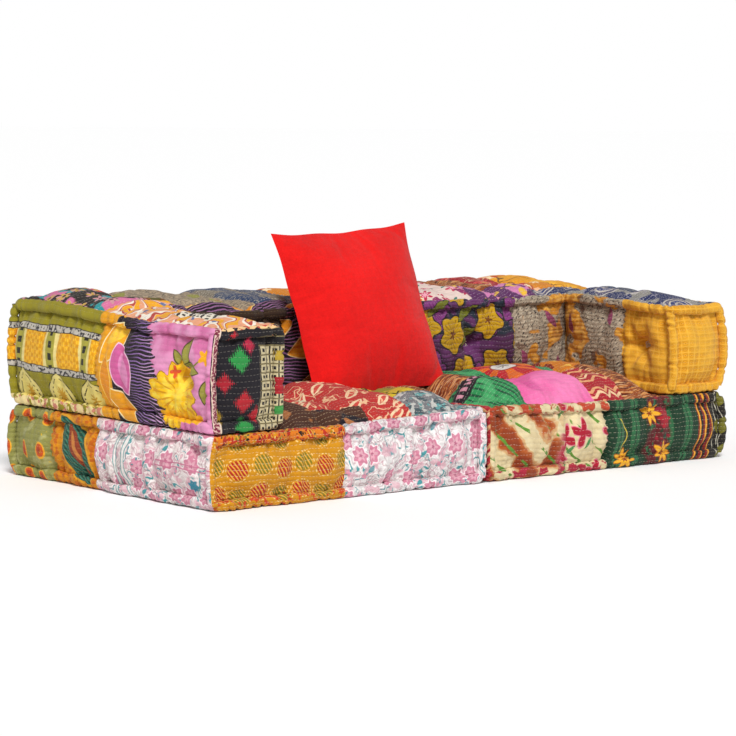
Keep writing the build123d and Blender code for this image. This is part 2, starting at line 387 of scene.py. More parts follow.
class Field:
    """A number that varies over a cloth: the output of a node in that cloth's tree."""

    def __init__(self, cloth, socket):
        self.cloth, self.socket = cloth, socket

    def __add__(self, other):
        return self.cloth.calc("ADD", self, other)

    def __sub__(self, other):
        return self.cloth.calc("SUBTRACT", self, other)

    def __rsub__(self, other):
        return self.cloth.calc("SUBTRACT", other, self)

    def __mul__(self, other):
        return self.cloth.calc("MULTIPLY", self, other)

    __radd__, __rmul__ = __add__, __mul__

    def __truediv__(self, other):
        return self.cloth.calc("DIVIDE", self, other)

    def __abs__(self):
        return self.cloth.calc("ABSOLUTE", self)

    def cos(self):
        return self.cloth.calc("COSINE", self)

    def below(self, edge, blur=0.001):
        """1 where the value is below the edge and 0 above it, fading over the blur."""
        return self.cloth.fade(self - edge, blur, -blur)

    def above(self, edge, blur=0.001):
        return self.cloth.fade(self - edge, -blur, blur)

    def within(self, low, high, blur=0.001):
        return self.above(low, blur) * self.below(high, blur)

    def tile(self, size):
        """The value measured from the middle of its tile, and the tile's number."""
        number = self.cloth.calc("ROUND", self / size)
        return self - number * size, number

    def bands(self, size, share, blur=0.001):
        """Bands that repeat at that size and fill that share of it."""
        return abs(self.tile(size)[0]).below(size * share / 2, blur)


class Cloth:
    """The material of one kind of patch. u and v are metres across it and up it."""

    def __init__(self, name, ground, origin=(0, 0), turn=0, wobble=0.004):
        self.material = bpy.data.materials.new(name)
        self.material.use_nodes = True
        self.tree = self.material.node_tree
        place = self.node("Mapping", vector_type="TEXTURE")
        self.tree.links.new(self.node("UVMap", uv_map="cloth").outputs[0], place.inputs[0])
        place.inputs[1].default_value = (*origin, 0)
        place.inputs[2].default_value = (0, 0, turn)
        self.u, self.v = self.split(place.outputs[0])
        if wobble:
            sway_u, sway_v = self.noise(11, 2, 3), self.noise(11, 2, 7)
            self.u = self.u + (sway_u - 0.5) * wobble * 4
            self.v = self.v + (sway_v - 0.5) * wobble * 4
        self.colour = tint(ground)
        cloths[name] = self.material

    def node(self, kind, **settings):
        node = self.tree.nodes.new("ShaderNode" + kind)
        for key, value in settings.items():
            setattr(node, key, value)
        return node

    def feed(self, socket, value):
        value = value.socket if isinstance(value, Field) else value
        if isinstance(value, bpy.types.NodeSocket):
            self.tree.links.new(value, socket)
        else:
            socket.default_value = value

    def calc(self, operation, *values):
        node = self.node("Math", operation=operation)
        for socket, value in zip(node.inputs, values):
            self.feed(socket, value)
        return Field(self, node.outputs[0])

    def fade(self, value, start, stop):
        node = self.node("MapRange", interpolation_type="SMOOTHSTEP")
        for socket, given in zip(node.inputs, (value, start, stop)):
            self.feed(socket, given)
        return Field(self, node.outputs[0])

    def split(self, vector):
        node = self.node("SeparateXYZ")
        self.feed(node.inputs[0], vector)
        return Field(self, node.outputs[0]), Field(self, node.outputs[1])

    def texture(self, kind, u, v, **inputs):
        """A 2-D texture node at that place."""
        spot = self.node("CombineXYZ")
        self.feed(spot.inputs[0], u)
        self.feed(spot.inputs[1], v)
        key = "noise_dimensions" if kind == "TexNoise" else "voronoi_dimensions"
        node = self.node(kind, **{key: "2D"})
        self.feed(node.inputs["Vector"], spot.outputs[0])
        for name, value in inputs.items():
            node.inputs[name].default_value = value
        return node

    def noise(self, scale, detail=2, seed=0, u=None, v=None):
        """Cloudy values from 0 to 1, about one cloud in each 1 / scale metres."""
        u, v = self.u if u is None else u, self.v if v is None else v
        node = self.texture("TexNoise", u + seed * 3.7, v, Scale=scale, Detail=detail)
        return Field(self, node.outputs["Fac"])

    def cells(self, size, spread=0.7, seed=0):
        """Scattered places: the offsets from the nearest one, and its own random number."""
        u, v = self.u + seed * 1.3, self.v
        node = self.texture("TexVoronoi", u, v, Scale=1 / size, Randomness=spread)
        at_u, at_v = self.split(node.outputs["Position"])
        return u - at_u, v - at_v, self.split(node.outputs["Color"])[0]

    def length(self, u, v):
        return self.calc("SQRT", u * u + v * v)

    def turn(self, u, v):
        return self.calc("ARCTAN2", v, u)

    def flower(self, u, v, radius, petals=5, depth=0.3, turn=0):
        """A flower seen from above, at the zero of u and v."""
        edge = ((self.turn(u, v) * petals + turn).cos() * depth + (1 - depth)) * radius
        return (self.length(u, v) - edge).below(0, 0.0015)

    def leaf(self, u, v, length, width, turn):
        """A pointed leaf of that half length and half width, at the zero of u and v."""
        x = u * cos(turn) + v * sin(turn)
        y = v * cos(turn) - u * sin(turn)
        reach = x / length
        return (abs(y) - (1 - reach * reach) * width).below(0)

    def paint(self, code, mask, strength=1.0):
        node = self.node("Mix", data_type="RGBA")
        self.feed(node.inputs[MIX_SHARE], mask * strength if strength != 1 else mask)
        self.feed(node.inputs[MIX_FIRST], self.colour)
        self.feed(node.inputs[MIX_SECOND], tint(code))
        self.colour = node.outputs[MIX_RESULT]

    def clouds(self, code, scale, level, seed, strength=1.0, mask=1, blur=0.02):
        self.paint(code, self.noise(scale, 2, seed).above(level, blur) * mask, strength)

    def veins(self, code, scale, width, seed, strength=1.0):
        self.paint(code, abs(self.noise(scale, 2, seed) - 0.5).below(width, width / 2), strength)

    def streaks(self, code, across, along, level, seed, strength=1.0):
        mask = self.noise(1, 3, seed, self.u * across, self.v * along).above(level, 0.04)
        self.paint(code, mask, strength)

    def scatter(self, size, spread, seed, *motifs):
        """Motifs at scattered places: colour, size, then petals and their depth for a flower, or
        minus the half width and the turn for a leaf. A last number leaves out that share."""
        du, dv, chance = self.cells(size, spread, seed)
        for code, radius, kind, depth, *missing in motifs:
            if kind < 0:
                mask = self.leaf(du, dv, radius, -kind, depth)
            else:
                mask = self.flower(du, dv, radius, kind, depth)
            self.paint(code, mask * chance.above(missing[0], 0.01) if missing else mask)

    def leaves(self, rim, *rows):
        """Rimmed leaves: place, half length, half width, turn, colour and colour of the rim."""
        for x, y, length, width, turn, fill, edge in rows:
            spot = self.u - x, self.v - y
            self.paint(edge, self.leaf(*spot, length + rim, width + rim, turn))
            self.paint(fill, self.leaf(*spot, length, width, turn))

    def finish(self, thread="f4ead2", pitch=0.013, stitch=1.0, rough=0.85):
        """Running stitches, weave, fading and small puckers, and the shader."""
        u, v = self.u, self.v
        row, number = v.tile(pitch)
        shift = (number * 12.9898).cos() * 43.7
        dash = abs((u + shift * 0.01).tile(STITCH_PITCH)[0]).below(STITCH_HALF_LENGTH, 0.0006)
        wander = (self.noise(35, 1, 5) - 0.5) * 0.0025
        line = abs(row + wander).below(STITCH_HALF_WIDTH, 0.0004)
        if stitch:
            self.paint(thread, dash * line, stitch * STITCH_CONTRAST)
        weft = self.noise(1, 2, 13, u * 90, v * 1100)
        warp = self.noise(1, 2, 14, u * 1100, v * 90)
        dim = self.noise(7, 3, 11) * 0.3 + self.noise(60, 3, 12) * 0.24 + 0.73
        dim = dim * ((weft + warp) * 0.16 + 0.84)
        mix = self.node("Mix", data_type="RGBA", blend_type="MULTIPLY")
        grey = self.node("CombineXYZ")
        for socket in grey.inputs:
            self.feed(socket, dim)
        for socket, value in (
            (MIX_SHARE, 1), (MIX_FIRST, self.colour), (MIX_SECOND, grey.outputs[0])
        ):
            self.feed(mix.inputs[socket], value)
        threads = (u * (tau / THREAD_PITCH)).cos() + (v * (tau / THREAD_PITCH)).cos()
        puff = (row * (tau / pitch)).cos() * 0.5 if stitch else 0.0
        crease, crumple = self.noise(1, 3, 15, u * 95, v * 40), self.noise(24, 4, 16)
        height = threads * 0.05 + (weft + warp) * 0.12 + crease * 1.3 + crumple * 1.5
        height = height - puff - dash * line * 0.5
        bump = self.node("Bump")
        shader = self.tree.nodes["Principled BSDF"]
        self.feed(bump.inputs["Strength"], BUMP_STRENGTH)
        self.feed(bump.inputs["Distance"], BUMP_DISTANCE)
        self.feed(bump.inputs["Height"], height)
        for socket, value in (
            ("Base Color", mix.outputs[MIX_RESULT]), ("Normal", bump.outputs[0]),
            ("Roughness", rough), ("Sheen Weight", 0.08), ("Sheen Roughness", 0.5),
            ("Specular IOR Level", 0.2),
        ):
            self.feed(shader.inputs[socket], value)


cloths = {}


def printed(ground, thread, pitch, stitch, **place):
    """Make the cloth that a function paints, under that function's name, and stitch it."""

    def make(paint_on):
        cloth = Cloth(paint_on.__name__, ground, **place)
        paint_on(cloth)
        cloth.finish(thread, pitch, stitch)
        return paint_on

    return make


@printed("8f8420", "d8cf9a", 0.02, 0.35, wobble=0.003)
def olive_arches(c):
    """Side of the left arm, rear half: woven blocks between borders, over pointed arches."""
    u, v = c.u, c.v
    blocks, x = v.within(0.118, 0.212), abs(u.tile(0.165)[0])
    c.paint("a39a3c", blocks)
    c.paint("e6d489", x.below(0.064) * blocks)
    woven = x.below(0.050) * blocks
    c.paint("dd9a14", woven)
    glow = (u * 260).cos() * (v * 330 + c.noise(30) * 6).cos()
    c.paint("f2bb2e", woven * glow.above(0.1, 0.3))
    c.paint("c98a1c", woven * (u * 520).cos().above(0.7, 0.2), 0.6)
    c.paint("2c2a20", x.above(0.075) * blocks * (v * 210).cos().above(-0.2, 0.2))
    for height in (0.112, 0.218):
        away = abs(v - height)
        band = away.below(0.0085)
        c.paint("b9b2a6", band)
        c.clouds("38363a", 95, 0.55, 4, mask=band, blur=0.05)
        c.paint("241f1c", abs(away - 0.0085).below(0.0011))
    x, rise = (u + 0.06).tile(0.165)[0], (v - 0.042) / 0.066
    dashes = ((v * 500).cos() + (u * 200).cos()).above(-0.5, 0.2)
    for width, code, broken in (
        (0.064, "2a2516", True), (0.059, "dccb7c", False),
        (0.044, "2a2516", True), (0.040, "e2cf74", False),
    ):
        arch = (abs(x) - (1 - rise * abs(rise) * (0.064 / width)) * width).below(0)
        arch = arch * v.above(0.012)
        c.paint(code, arch * dashes if broken else arch)
    c.paint("c99a2a", c.flower(x, v - 0.045, 0.024, 11, 0.3) * v.above(0.03))
    foot = v.below(0.030)
    c.paint("e6cf94", foot)
    c.clouds("c77f6a", 45, 0.56, 8, mask=foot)
    c.clouds("8f8420", 40, 0.56, 9, mask=foot)


@printed("241a20", "e8d5cf", 0.016, 0.25, origin=(0.5, 0), wobble=0.003)
def pink_bloom(c):
    """Side of the left arm, front half: big painted flowers over pink and black."""
    u, v = c.u, c.v
    rays = ((v - (u - 0.1) * (v - 0.16) * 1.6) * 760 + c.noise(8, 2, 4) * 22).cos()
    reach = u - 0.165 + c.noise(1, 1, 6, u * 6, v * 90) * 0.11
    c.paint("8f6aa8", rays.above(0.55, 0.2) * reach.above(0.03, 0.04))
    c.paint("dcaed0", rays.above(0.80, 0.12) * reach.above(0.10, 0.04))
    edge = u + c.noise(1, 1, 2, u * 12, v * 70) * 0.12 - 0.325 + (v - 0.14) * 0.42
    ground = edge.above(0, 0.004)
    c.paint("d070a0", ground)
    c.clouds("e39cc2", 14, 0.52, 9, 0.75, ground, 0.10)
    c.paint("df9a1c", u.below(0.055))
    c.leaves(
        0.004,
        (0.045, 0.215, 0.075, 0.040, 0.9, "f0a51c", "fbe7b0"),
        (0.055, 0.235, 0.050, 0.022, 0.6, "f7c53c", "f0a51c"),
        (0.100, 0.145, 0.070, 0.046, 1.95, "cf5f98", "f4c7dc"),
        (0.108, 0.142, 0.050, 0.024, 1.95, "e08ab8", "cf5f98"),
        (0.085, 0.045, 0.080, 0.030, 2.5, "eba022", "fbe7b0"),
        (0.020, 0.110, 0.070, 0.022, 1.4, "e48f1d", "f6c95a"),
        *((*leaf, "9a9440", "4c4a1e") for leaf in (
            (0.375, 0.215, 0.038, 0.014, 1.2), (0.395, 0.170, 0.036, 0.014, 2.9),
            (0.455, 0.115, 0.034, 0.012, 1.4), (0.330, 0.190, 0.030, 0.010, 2.2),
        )),
    )
    vine = abs(v - 0.155 - (u - 0.34) * 0.5 + (u * 45).cos() * 0.012)
    c.paint("7d7a2c", vine.below(0.0028) * u.within(0.3, 0.46))
    c.paint("f0ab1e", c.flower(u - 0.452, v - 0.205, 0.024, 5, 0.25))
    x, y = u - 0.325, v - 0.092
    angle = c.turn(x, y)
    teeth = abs((angle * 7).cos()) * 0.016 + (angle * 4 + 1).cos() * 0.011
    edge = c.length(x, y * 0.95) - teeth - c.noise(70, 1, 6) * 0.016
    c.paint("a87a10", edge.below(0.067))
    c.paint("f2bd1a", edge.below(0.063))
    c.clouds("f8dc4c", 26, 0.5, 8, 0.8, edge.below(0.052, 0.01), 0.08)
    creases = ((angle * 15).cos() + c.noise(30) * 1.4).above(1.35, 0.15)
    c.paint("d08c12", creases * edge.within(0.012, 0.058, 0.004), 0.8)
    c.paint("d8552a", c.flower(x + 0.008, y - 0.066, 0.017, 4, 0.3))
    foot = (abs(v - 0.028 - c.noise(20, 1, 3) * 0.02) + abs(u - 0.36) * 0.06).below(0.014)
    c.paint("f0b21c", foot * u.within(0.25, 0.44))


@printed("1f1c22", "cfc6b8", 0.016, 0.4, wobble=0.002)
def star_ikat(c):
    """Front of the left arm: black with jagged stars and a squared column."""
    u, v = c.u, c.v
    jag = abs((u * 620).cos()) * 0.011 + c.noise(140, 1, 3) * 0.012 - 0.006
    for x, y, size, code in (
        (0.100, 0.200, 0.034, "2f8f45"), (0.058, 0.140, 0.030, "a3222e"),
        (0.112, 0.088, 0.033, "b3252f"), (0.150, 0.050, 0.026, "b3252f"),
        (0.128, 0.238, 0.024, "b02540"), (0.020, 0.222, 0.026, "9a7a1e"),
        (0.030, 0.050, 0.028, "a5841f"), (0.110, 0.015, 0.034, "2f8f45"),
        (0.075, 0.268, 0.016, "b3252f"), (0.175, 0.268, 0.016, "b3252f"),
    ):
        c.paint(code, (abs(u - x) + abs(v - y) * 0.85 + jag - size).below(0, 0.0015))
    column = u.above(0.158)
    x, y = abs((u - 0.172).tile(0.0235)[0]), abs((v - 0.010).tile(0.0235)[0])
    square = c.calc("MAXIMUM", x, y)
    c.paint("201d1f", column)
    c.paint("cbbd95", column * square.within(0.0045, 0.0098, 0.0008) * v.below(0.235))
    c.paint("b2a06a", column * y.within(0.0105, 0.0112, 0.0005))
    for code, low, high in (
        ("a8232c", 0.105, 0.150), ("3f8f45", 0.045, 0.070), ("b99a35", 0.195, 0.220)
    ):
        c.paint(code, u.above(0.218) * v.within(low, high))
    crest = v.above(0.281) * (c.noise(60, 1, 4) + (u * 190).cos() * 0.2).above(0.36, 0.03)
    c.paint("edc58c", crest)
    c.clouds("c23a35", 70, 0.60, 9, mask=crest)
    strip = u.within(0.003, 0.036)
    c.paint("7c2740", strip)
    c.clouds("d9b3a8", 170, 0.56, 8, mask=strip, blur=0.04)
    c.paint("e6d3bd", abs(abs(u - 0.020) - 0.0150).below(0.0012))


@printed("8c8a49", "cfcf9a", 0.014, 0.5, wobble=0.003)
def sage_dots(c):
    c.clouds("c2c08a", 26, 0.62, 2, 0.4, blur=0.06)
    du, dv, _ = c.cells(0.085, 0.25)
    radius = c.length(du * 1.2, dv)
    for code, size in (("e8a52a", 0.0235), ("c9531c", 0.0185), ("a63c18", 0.009)):
        c.paint(code, radius.below(size))
    c.clouds("d8b63a", 120, 0.72, 5, mask=c.u.above(0.16))


@printed("cf8514", "e0b860", 0.014, 0.5, origin=(0.22, 0))
def amber_leaf(c):
    c.clouds("b4531a", 60, 0.56, 2, 0.8, blur=0.06)
    spot = (c.u - 0.125, c.v - 0.105)
    c.paint("d99a22", c.leaf(*spot, 0.125, 0.066, 2.2))
    c.paint("1f4a3c", c.leaf(*spot, 0.115, 0.058, 2.2))
    ribs = ((c.u * 0.8 + c.v) * 420).cos().above(0.2, 0.2)
    c.paint("3f7f6b", c.leaf(*spot, 0.112, 0.055, 2.2) * ribs, 0.8)
    c.paint("8c3a22", c.leaf(c.u - 0.135, c.v - 0.110, 0.085, 0.020, 2.2))
    c.paint("c47a3a", c.leaf(c.u - 0.135, c.v - 0.110, 0.06, 0.007, 2.2))


def white_floral(name, origin, ground, thread, stitch):
    """White ground with pink flowers, teal leaves and grey swirls."""
    c = Cloth(name, ground, origin=origin, wobble=0.006)
    u, v = c.u, c.v
    swirl = c.noise(16, 2, 4)
    lines = (swirl * 70 + (u + v) * 30).cos()
    c.clouds("ad9299", 20, 0.45, 6, 0.75, lines.above(0.82, 0.1), 0.05)
    c.paint("f4efec", lines.below(-0.75, 0.1), 0.8)
    c.clouds("4c979b", 34, 0.48, 8, 1, abs(swirl - 0.5).below(0.022, 0.008), 0.03)
    c.veins("b77f8e", 24, 0.012, 14, 0.7)
    c.clouds("d9a3b0", 30, 0.58, 17, 0.7, blur=0.05)
    c.scatter(0.078, 0.85, 1, ("f3e6e6", 0.0285, 7, 0.10, 0.22), ("cb8096", 0.0255, 7, 0.13, 0.22),
              ("dba5b2", 0.017, 6, 0.25, 0.22), ("b0607c", 0.006, 5, 0.3, 0.22))
    c.scatter(0.048, 0.9, 5, ("4a949a", 0.013, -0.006, 0.8, 0.55), ("d58fa3", 0.009, 5, 0.2, 0.75))
    if name == "side_floral":
        for at in (0.115, 0.165):
            band = abs(u - at - (v - 0.1) * (v - 0.1) * 1.2)
            c.paint("4f9a99", band.below(0.008))
            c.paint("e8e2de", band.below(0.005))
        c.paint("c4708c", abs(abs(v - 0.112) - 0.006).below(0.0016) * u.above(0.31))
        c.paint("3f8ba0", c.flower(u - 0.46, v - 0.062, 0.019, 7, 0.15))
    c.finish(thread, 0.014, stitch)


@printed("c98a16", "f6ecc8", 0.0135, 0.7, wobble=0.003)
def mustard_dots(c):
    """Front of the left mattress: discs with slanting stripes."""
    u, v = c.u, c.v
    x, column = (u + 0.03).tile(0.069)
    y, row = (v + 0.03 + (column * pi).cos() * 0.006).tile(0.072)
    parity = (column * pi).cos() * (row * pi).cos()
    radius = c.length(x * 0.95, y * 1.12)
    dashes = (c.turn(x, y) * 14).cos().above(0, 0.2)
    c.paint("f0d28a", radius.within(0.0290, 0.0312) * dashes)
    stripes = ((x + y * 0.7) * 620).cos().above(-0.3, 0.25)
    disc = radius.below(0.0260)
    c.paint("d9a03a", disc)
    c.paint("b0301c", disc * stripes * parity.above(0))
    c.paint("83741a", disc * stripes * parity.below(0))
    c.clouds("d8771c", 40, 0.46, 3, mask=v.above(0.172), blur=0.05)
    c.clouds("b5301c", 55, 0.56, 4, mask=v.above(0.176))
    c.clouds("2a2018", 75, 0.66, 5, mask=v.above(0.168))
    c.clouds("c3441e", 55, 0.58, 6, mask=v.below(0.035), blur=0.04)


@printed("dccba0", "f4ecd6", 0.014, 0.5, wobble=0.006)
def cream_tiedye(c):
    """Front of the right mattress: cream with rust dye and crimson flowers."""
    u, v = c.u, c.v
    c.clouds("c9b58a", 22, 0.52, 1, 0.6, blur=0.1)
    stain, left = c.noise(11, 3, 3) + (u * 38 + v * 30).cos() * 0.16, u.below(0.30, 0.04)
    c.paint("b05a28", stain.above(0.53, 0.04) * left)
    c.paint("8e3c1c", stain.above(0.62, 0.05) * left)
    c.paint("c78f55", abs(stain - 0.5).below(0.03, 0.02) * left, 0.7)
    dash = abs((u + v * 1.4).tile(0.11)[0]).below(0.007)
    c.clouds("5c8a32", 26, 0.5, 5, mask=dash, blur=0.03)
    du, dv, _ = c.cells(0.095, 0.8, 3)
    right = u.above(0.29, 0.02)
    c.paint("d8788a", c.flower(du, dv, 0.042, 4, 0.3, 1) * right)
    c.paint("a8182f", c.flower(du, dv, 0.037, 4, 0.34, 1) * right)
    c.paint("4f8a4c", c.leaf(du - 0.02, dv + 0.03, 0.02, 0.006, 0.8) * right)
    c.clouds("b5442a", 34, 0.54, 7, mask=v.above(0.178), blur=0.04)
    c.clouds("a5263a", 30, 0.56, 8, mask=v.below(0.036), blur=0.04)


@printed("1c3a27", "d8d0b4", 0.0125, 0.6, origin=(0.53, 0), wobble=0.003)
def green_bands(c):
    """Front of the right mattress, right half: bands with blooms, striped at the end."""
    u, v = c.u, c.v
    c.paint("2f6440", u.bands(0.072, 0.42, 0.002))
    c.paint("1c3526", u.bands(0.024, 0.16, 0.001))
    c.clouds("5c1f22", 40, 0.40, 3, mask=u.within(0.12, 0.22, 0.01), blur=0.05)
    c.clouds("8d2230", 34, 0.55, 5, mask=u.within(0.16, 0.22), blur=0.04)
    for x, y in ((0.028, 0.030), (0.140, 0.158), (0.195, 0.040)):
        for code, radius, petals, depth in (
            ("b5651a", 0.040, 7, 0.24), ("e9ab2a", 0.036, 7, 0.28), ("8a3a16", 0.011, 6, 0.3)
        ):
            c.paint(code, c.flower(u - x, v - y, radius, petals, depth, petals - 6))
    c.paint("a3202c", c.flower(u - 0.197, v - 0.140, 0.030, 6, 0.3))
    stalk = abs(u - 0.018 - (v * 60).cos() * 0.012)
    c.paint("c9b23c", stalk.below(0.003) * v.within(0.06, 0.15))
    end = u.above(0.33)
    c.paint("7f1f1c", end)
    c.paint("e0a030", end * u.bands(0.026, 0.22))
    c.paint("2a2220", end * (u - 0.008).bands(0.026, 0.3))
    tip = u.above(0.40)
    c.paint("262320", tip)
    vine = abs(u - 0.435 - (v * 55).cos() * 0.012)
    c.paint("d8d2bd", abs(vine - 0.010).below(0.0014) * tip)
    c.paint("6e6a24", c.leaf(u - 0.450, (v - 0.02).tile(0.085)[0], 0.030, 0.018, 1.2) * tip)


@printed("4c2549", "d8c9d8", 0.014, 0.45, wobble=0.006)
def purple_flowers(c):
    """Inner face of the back: yellow flowers and leaves on purple and slate."""
    c.paint("232c38", (c.v + c.noise(9, 2, 3) * 0.16).above(0.255, 0.01))
    c.clouds("6a3468", 13, 0.55, 2, 0.8, blur=0.06)
    for size, seed, code, deep in ((0.17, 6, "7f3a77", "451c48"), (0.155, 1, "bd9415", "6f3f10")):
        du, dv, _ = c.cells(size, 0.55, seed)
        c.paint("1f1a22", c.flower(du, dv, 0.062, 5, 0.13, seed))
        c.paint(code, c.flower(du, dv, 0.057, 5, 0.14, seed))
        creases = (c.turn(du, dv) * 20 + c.noise(40) * 6).cos().above(0.5, 0.2)
        c.paint(deep, creases * c.flower(du, dv, 0.046, 5, 0.2, seed), 0.55)
        c.paint(deep, c.flower(du, dv, 0.016, 5, 0.3))
    c.scatter(0.11, 0.9, 9,
              ("23220f", 0.047, -0.017, 0.7, 0.4), ("6f7420", 0.043, -0.014, 0.7, 0.4))


@printed("9b8c78", "d8ccb8", 0.013, 0.6, origin=(0.54, 0), wobble=0.005)
def beige_flecks(c):
    """Inner corner on the right: grey beige with dark flecks, amber and plum."""
    u, v = c.u, c.v
    c.streaks("c0b29a", 55, 170, 0.56, 2, 0.8)
    c.paint("3a3230", c.noise(1, 2, 3, (u + v) * 60, (v - u) * 190).above(0.60, 0.03))
    amber = c.noise(13, 2, 4) + u.within(0.13, 0.21, 0.03) * 0.16 + u.below(-0.44, 0.03) * 0.16
    c.paint("bf7d22", amber.above(0.62, 0.02))
    c.clouds("e0a848", 40, 0.5, 7, mask=amber.above(0.66, 0.03), blur=0.06)
    c.scatter(0.16, 0.8, 4, ("8c3f5f", 0.034, -0.012, 2.0, 0.3))
    c.clouds("5d3a2c", 14, 0.68, 9, 0.7)


@printed("d99a22", "f7e2a0", 0.0205, 0.35, wobble=0.002)
def golden_rings(c):
    """Right arm: golden yellow with a small printed grid of rings."""
    x, y = c.u.tile(0.0205)[0], c.v.tile(0.0205)[0]
    radius = c.length(x, y)
    c.paint("c4811a", abs(radius - 0.0064).below(0.0012, 0.0005), 0.75)
    c.paint("b87414", radius.below(0.0018, 0.0006), 0.8)
    c.paint("f0c052", c.calc("MAXIMUM", abs(x), abs(y)).above(0.0092, 0.0006), 0.55)
    c.clouds("e8b03a", 9, 0.5, 3, 0.5, blur=0.12)


@printed("ece2d2", "f4ead8", 0.014, 0.5, wobble=0.008)
def swirl_peach(c):
    """Top of the left arm: white, peach and yellow swirls."""
    swirl = (c.noise(8, 2, 3) + c.u * 1.2) * 30
    for code, phase, level, blur in (
        ("e3a07c", 0, 0.35, 0.1), ("e9a424", 1.9, 0.55, 0.06), ("b5483c", 3.4, 0.9, 0.04)
    ):
        c.paint(code, (swirl + phase).cos().above(level, blur))
    c.clouds("5c6f9a", 19, 0.66, 8)


@printed("ded6c4", "c9b9a0", 0.02, 0.3, turn=0.5)
def black_check(c):
    c.paint("221f20", c.u.bands(0.016, 0.45, 0.0008) * c.v.bands(0.016, 0.62, 0.0008))
    c.paint("3a3436", c.v.bands(0.032, 0.2, 0.0008))


@printed("221a20", "cfc0c8", 0.015, 0.3)
def petal_stripes(c):
    """Front of the back's top on the left: black and purple lines with orange petals."""
    c.paint("94648f", (c.v * 560 + c.noise(7, 2, 2) * 20).cos().above(0.5, 0.15))
    c.scatter(0.17, 0.5, 2, ("f0d08a", 0.074, -0.034, 0.4), ("df8c1e", 0.070, -0.030, 0.4))


@printed("2a315a", "f2eee6", 0.0105, 1.0)
def navy_paisley(c):
    """Top of the right arm: navy with white stitches and grey drops."""
    c.clouds("8a867f", 8, 0.54, 9)
    du, dv, _ = c.cells(0.15, 0.6, 2)
    drop = c.length(du - dv * 0.3, dv * 1.5) + du * 0.35
    for edge, code in ((0.054, "bdb5ab"), (0.048, "59536a"), (0.036, "c9bfae"), (0.031, "3c4470"),
                       (0.018, "b0a69c"), (0.012, "59536a")):
        c.paint(code, drop.below(edge))
    c.veins("9a94a0", 20, 0.012, 5, 0.8)


@printed("2f8a50", "cfe8cf", 0.012, 0.6, turn=0.35)
def green_stripes(c):
    c.paint("184a30", c.u.bands(0.021, 0.34, 0.0012))
    c.clouds("4fae6c", 14, 0.55, 3, 0.6, blur=0.06)
    border = abs((c.v + 0.02).tile(0.30)[0])
    c.paint("241c22", border.below(0.024))
    c.paint("c78a9c", border.below(0.010) * abs(c.u.tile(0.024)[0]).below(0.006))


@printed("d8641c", "f4dcb4", 0.013, 0.7, origin=(0.345, -0.19))
def medallion(c):
    """Centre of the right mattress: orange and red petals round a silver disc."""
    u, v = c.u, c.v
    radius, petals = c.length(u, v), (c.turn(u, v) * 8).cos()
    c.paint("b3202a", petals.above(0.0, 0.1) * radius.below(0.17, 0.003))
    c.paint("e8942c", radius.within(0.13, 0.15) * petals.below(0.0, 0.1))
    c.paint("3f8a5c", radius.within(0.17, 0.21, 0.003))
    c.paint("8f3a2c", radius.below(0.043))
    c.paint("d0ccc6", radius.below(0.037))
    c.paint("8a8580", c.flower(u, v, 0.024, 8, 0.35))


@printed("a8242f", "f0d4b4", 0.012, 0.7, wobble=0.003)
def crimson_zigzag(c):
    zigzag = c.v + abs(c.u.tile(0.05)[0]) * 0.8
    c.paint("dca070", zigzag.bands(0.052, 0.22))
    c.paint("e8c49a", (zigzag + 0.02).bands(0.104, 0.10))


white_floral("side_floral", (0.44, 0), "e0d2cf", "e8c7cf", 0.35)
white_floral("front_floral", (0.5, 0), "dbd6d4", "f0eef0", 0.45)

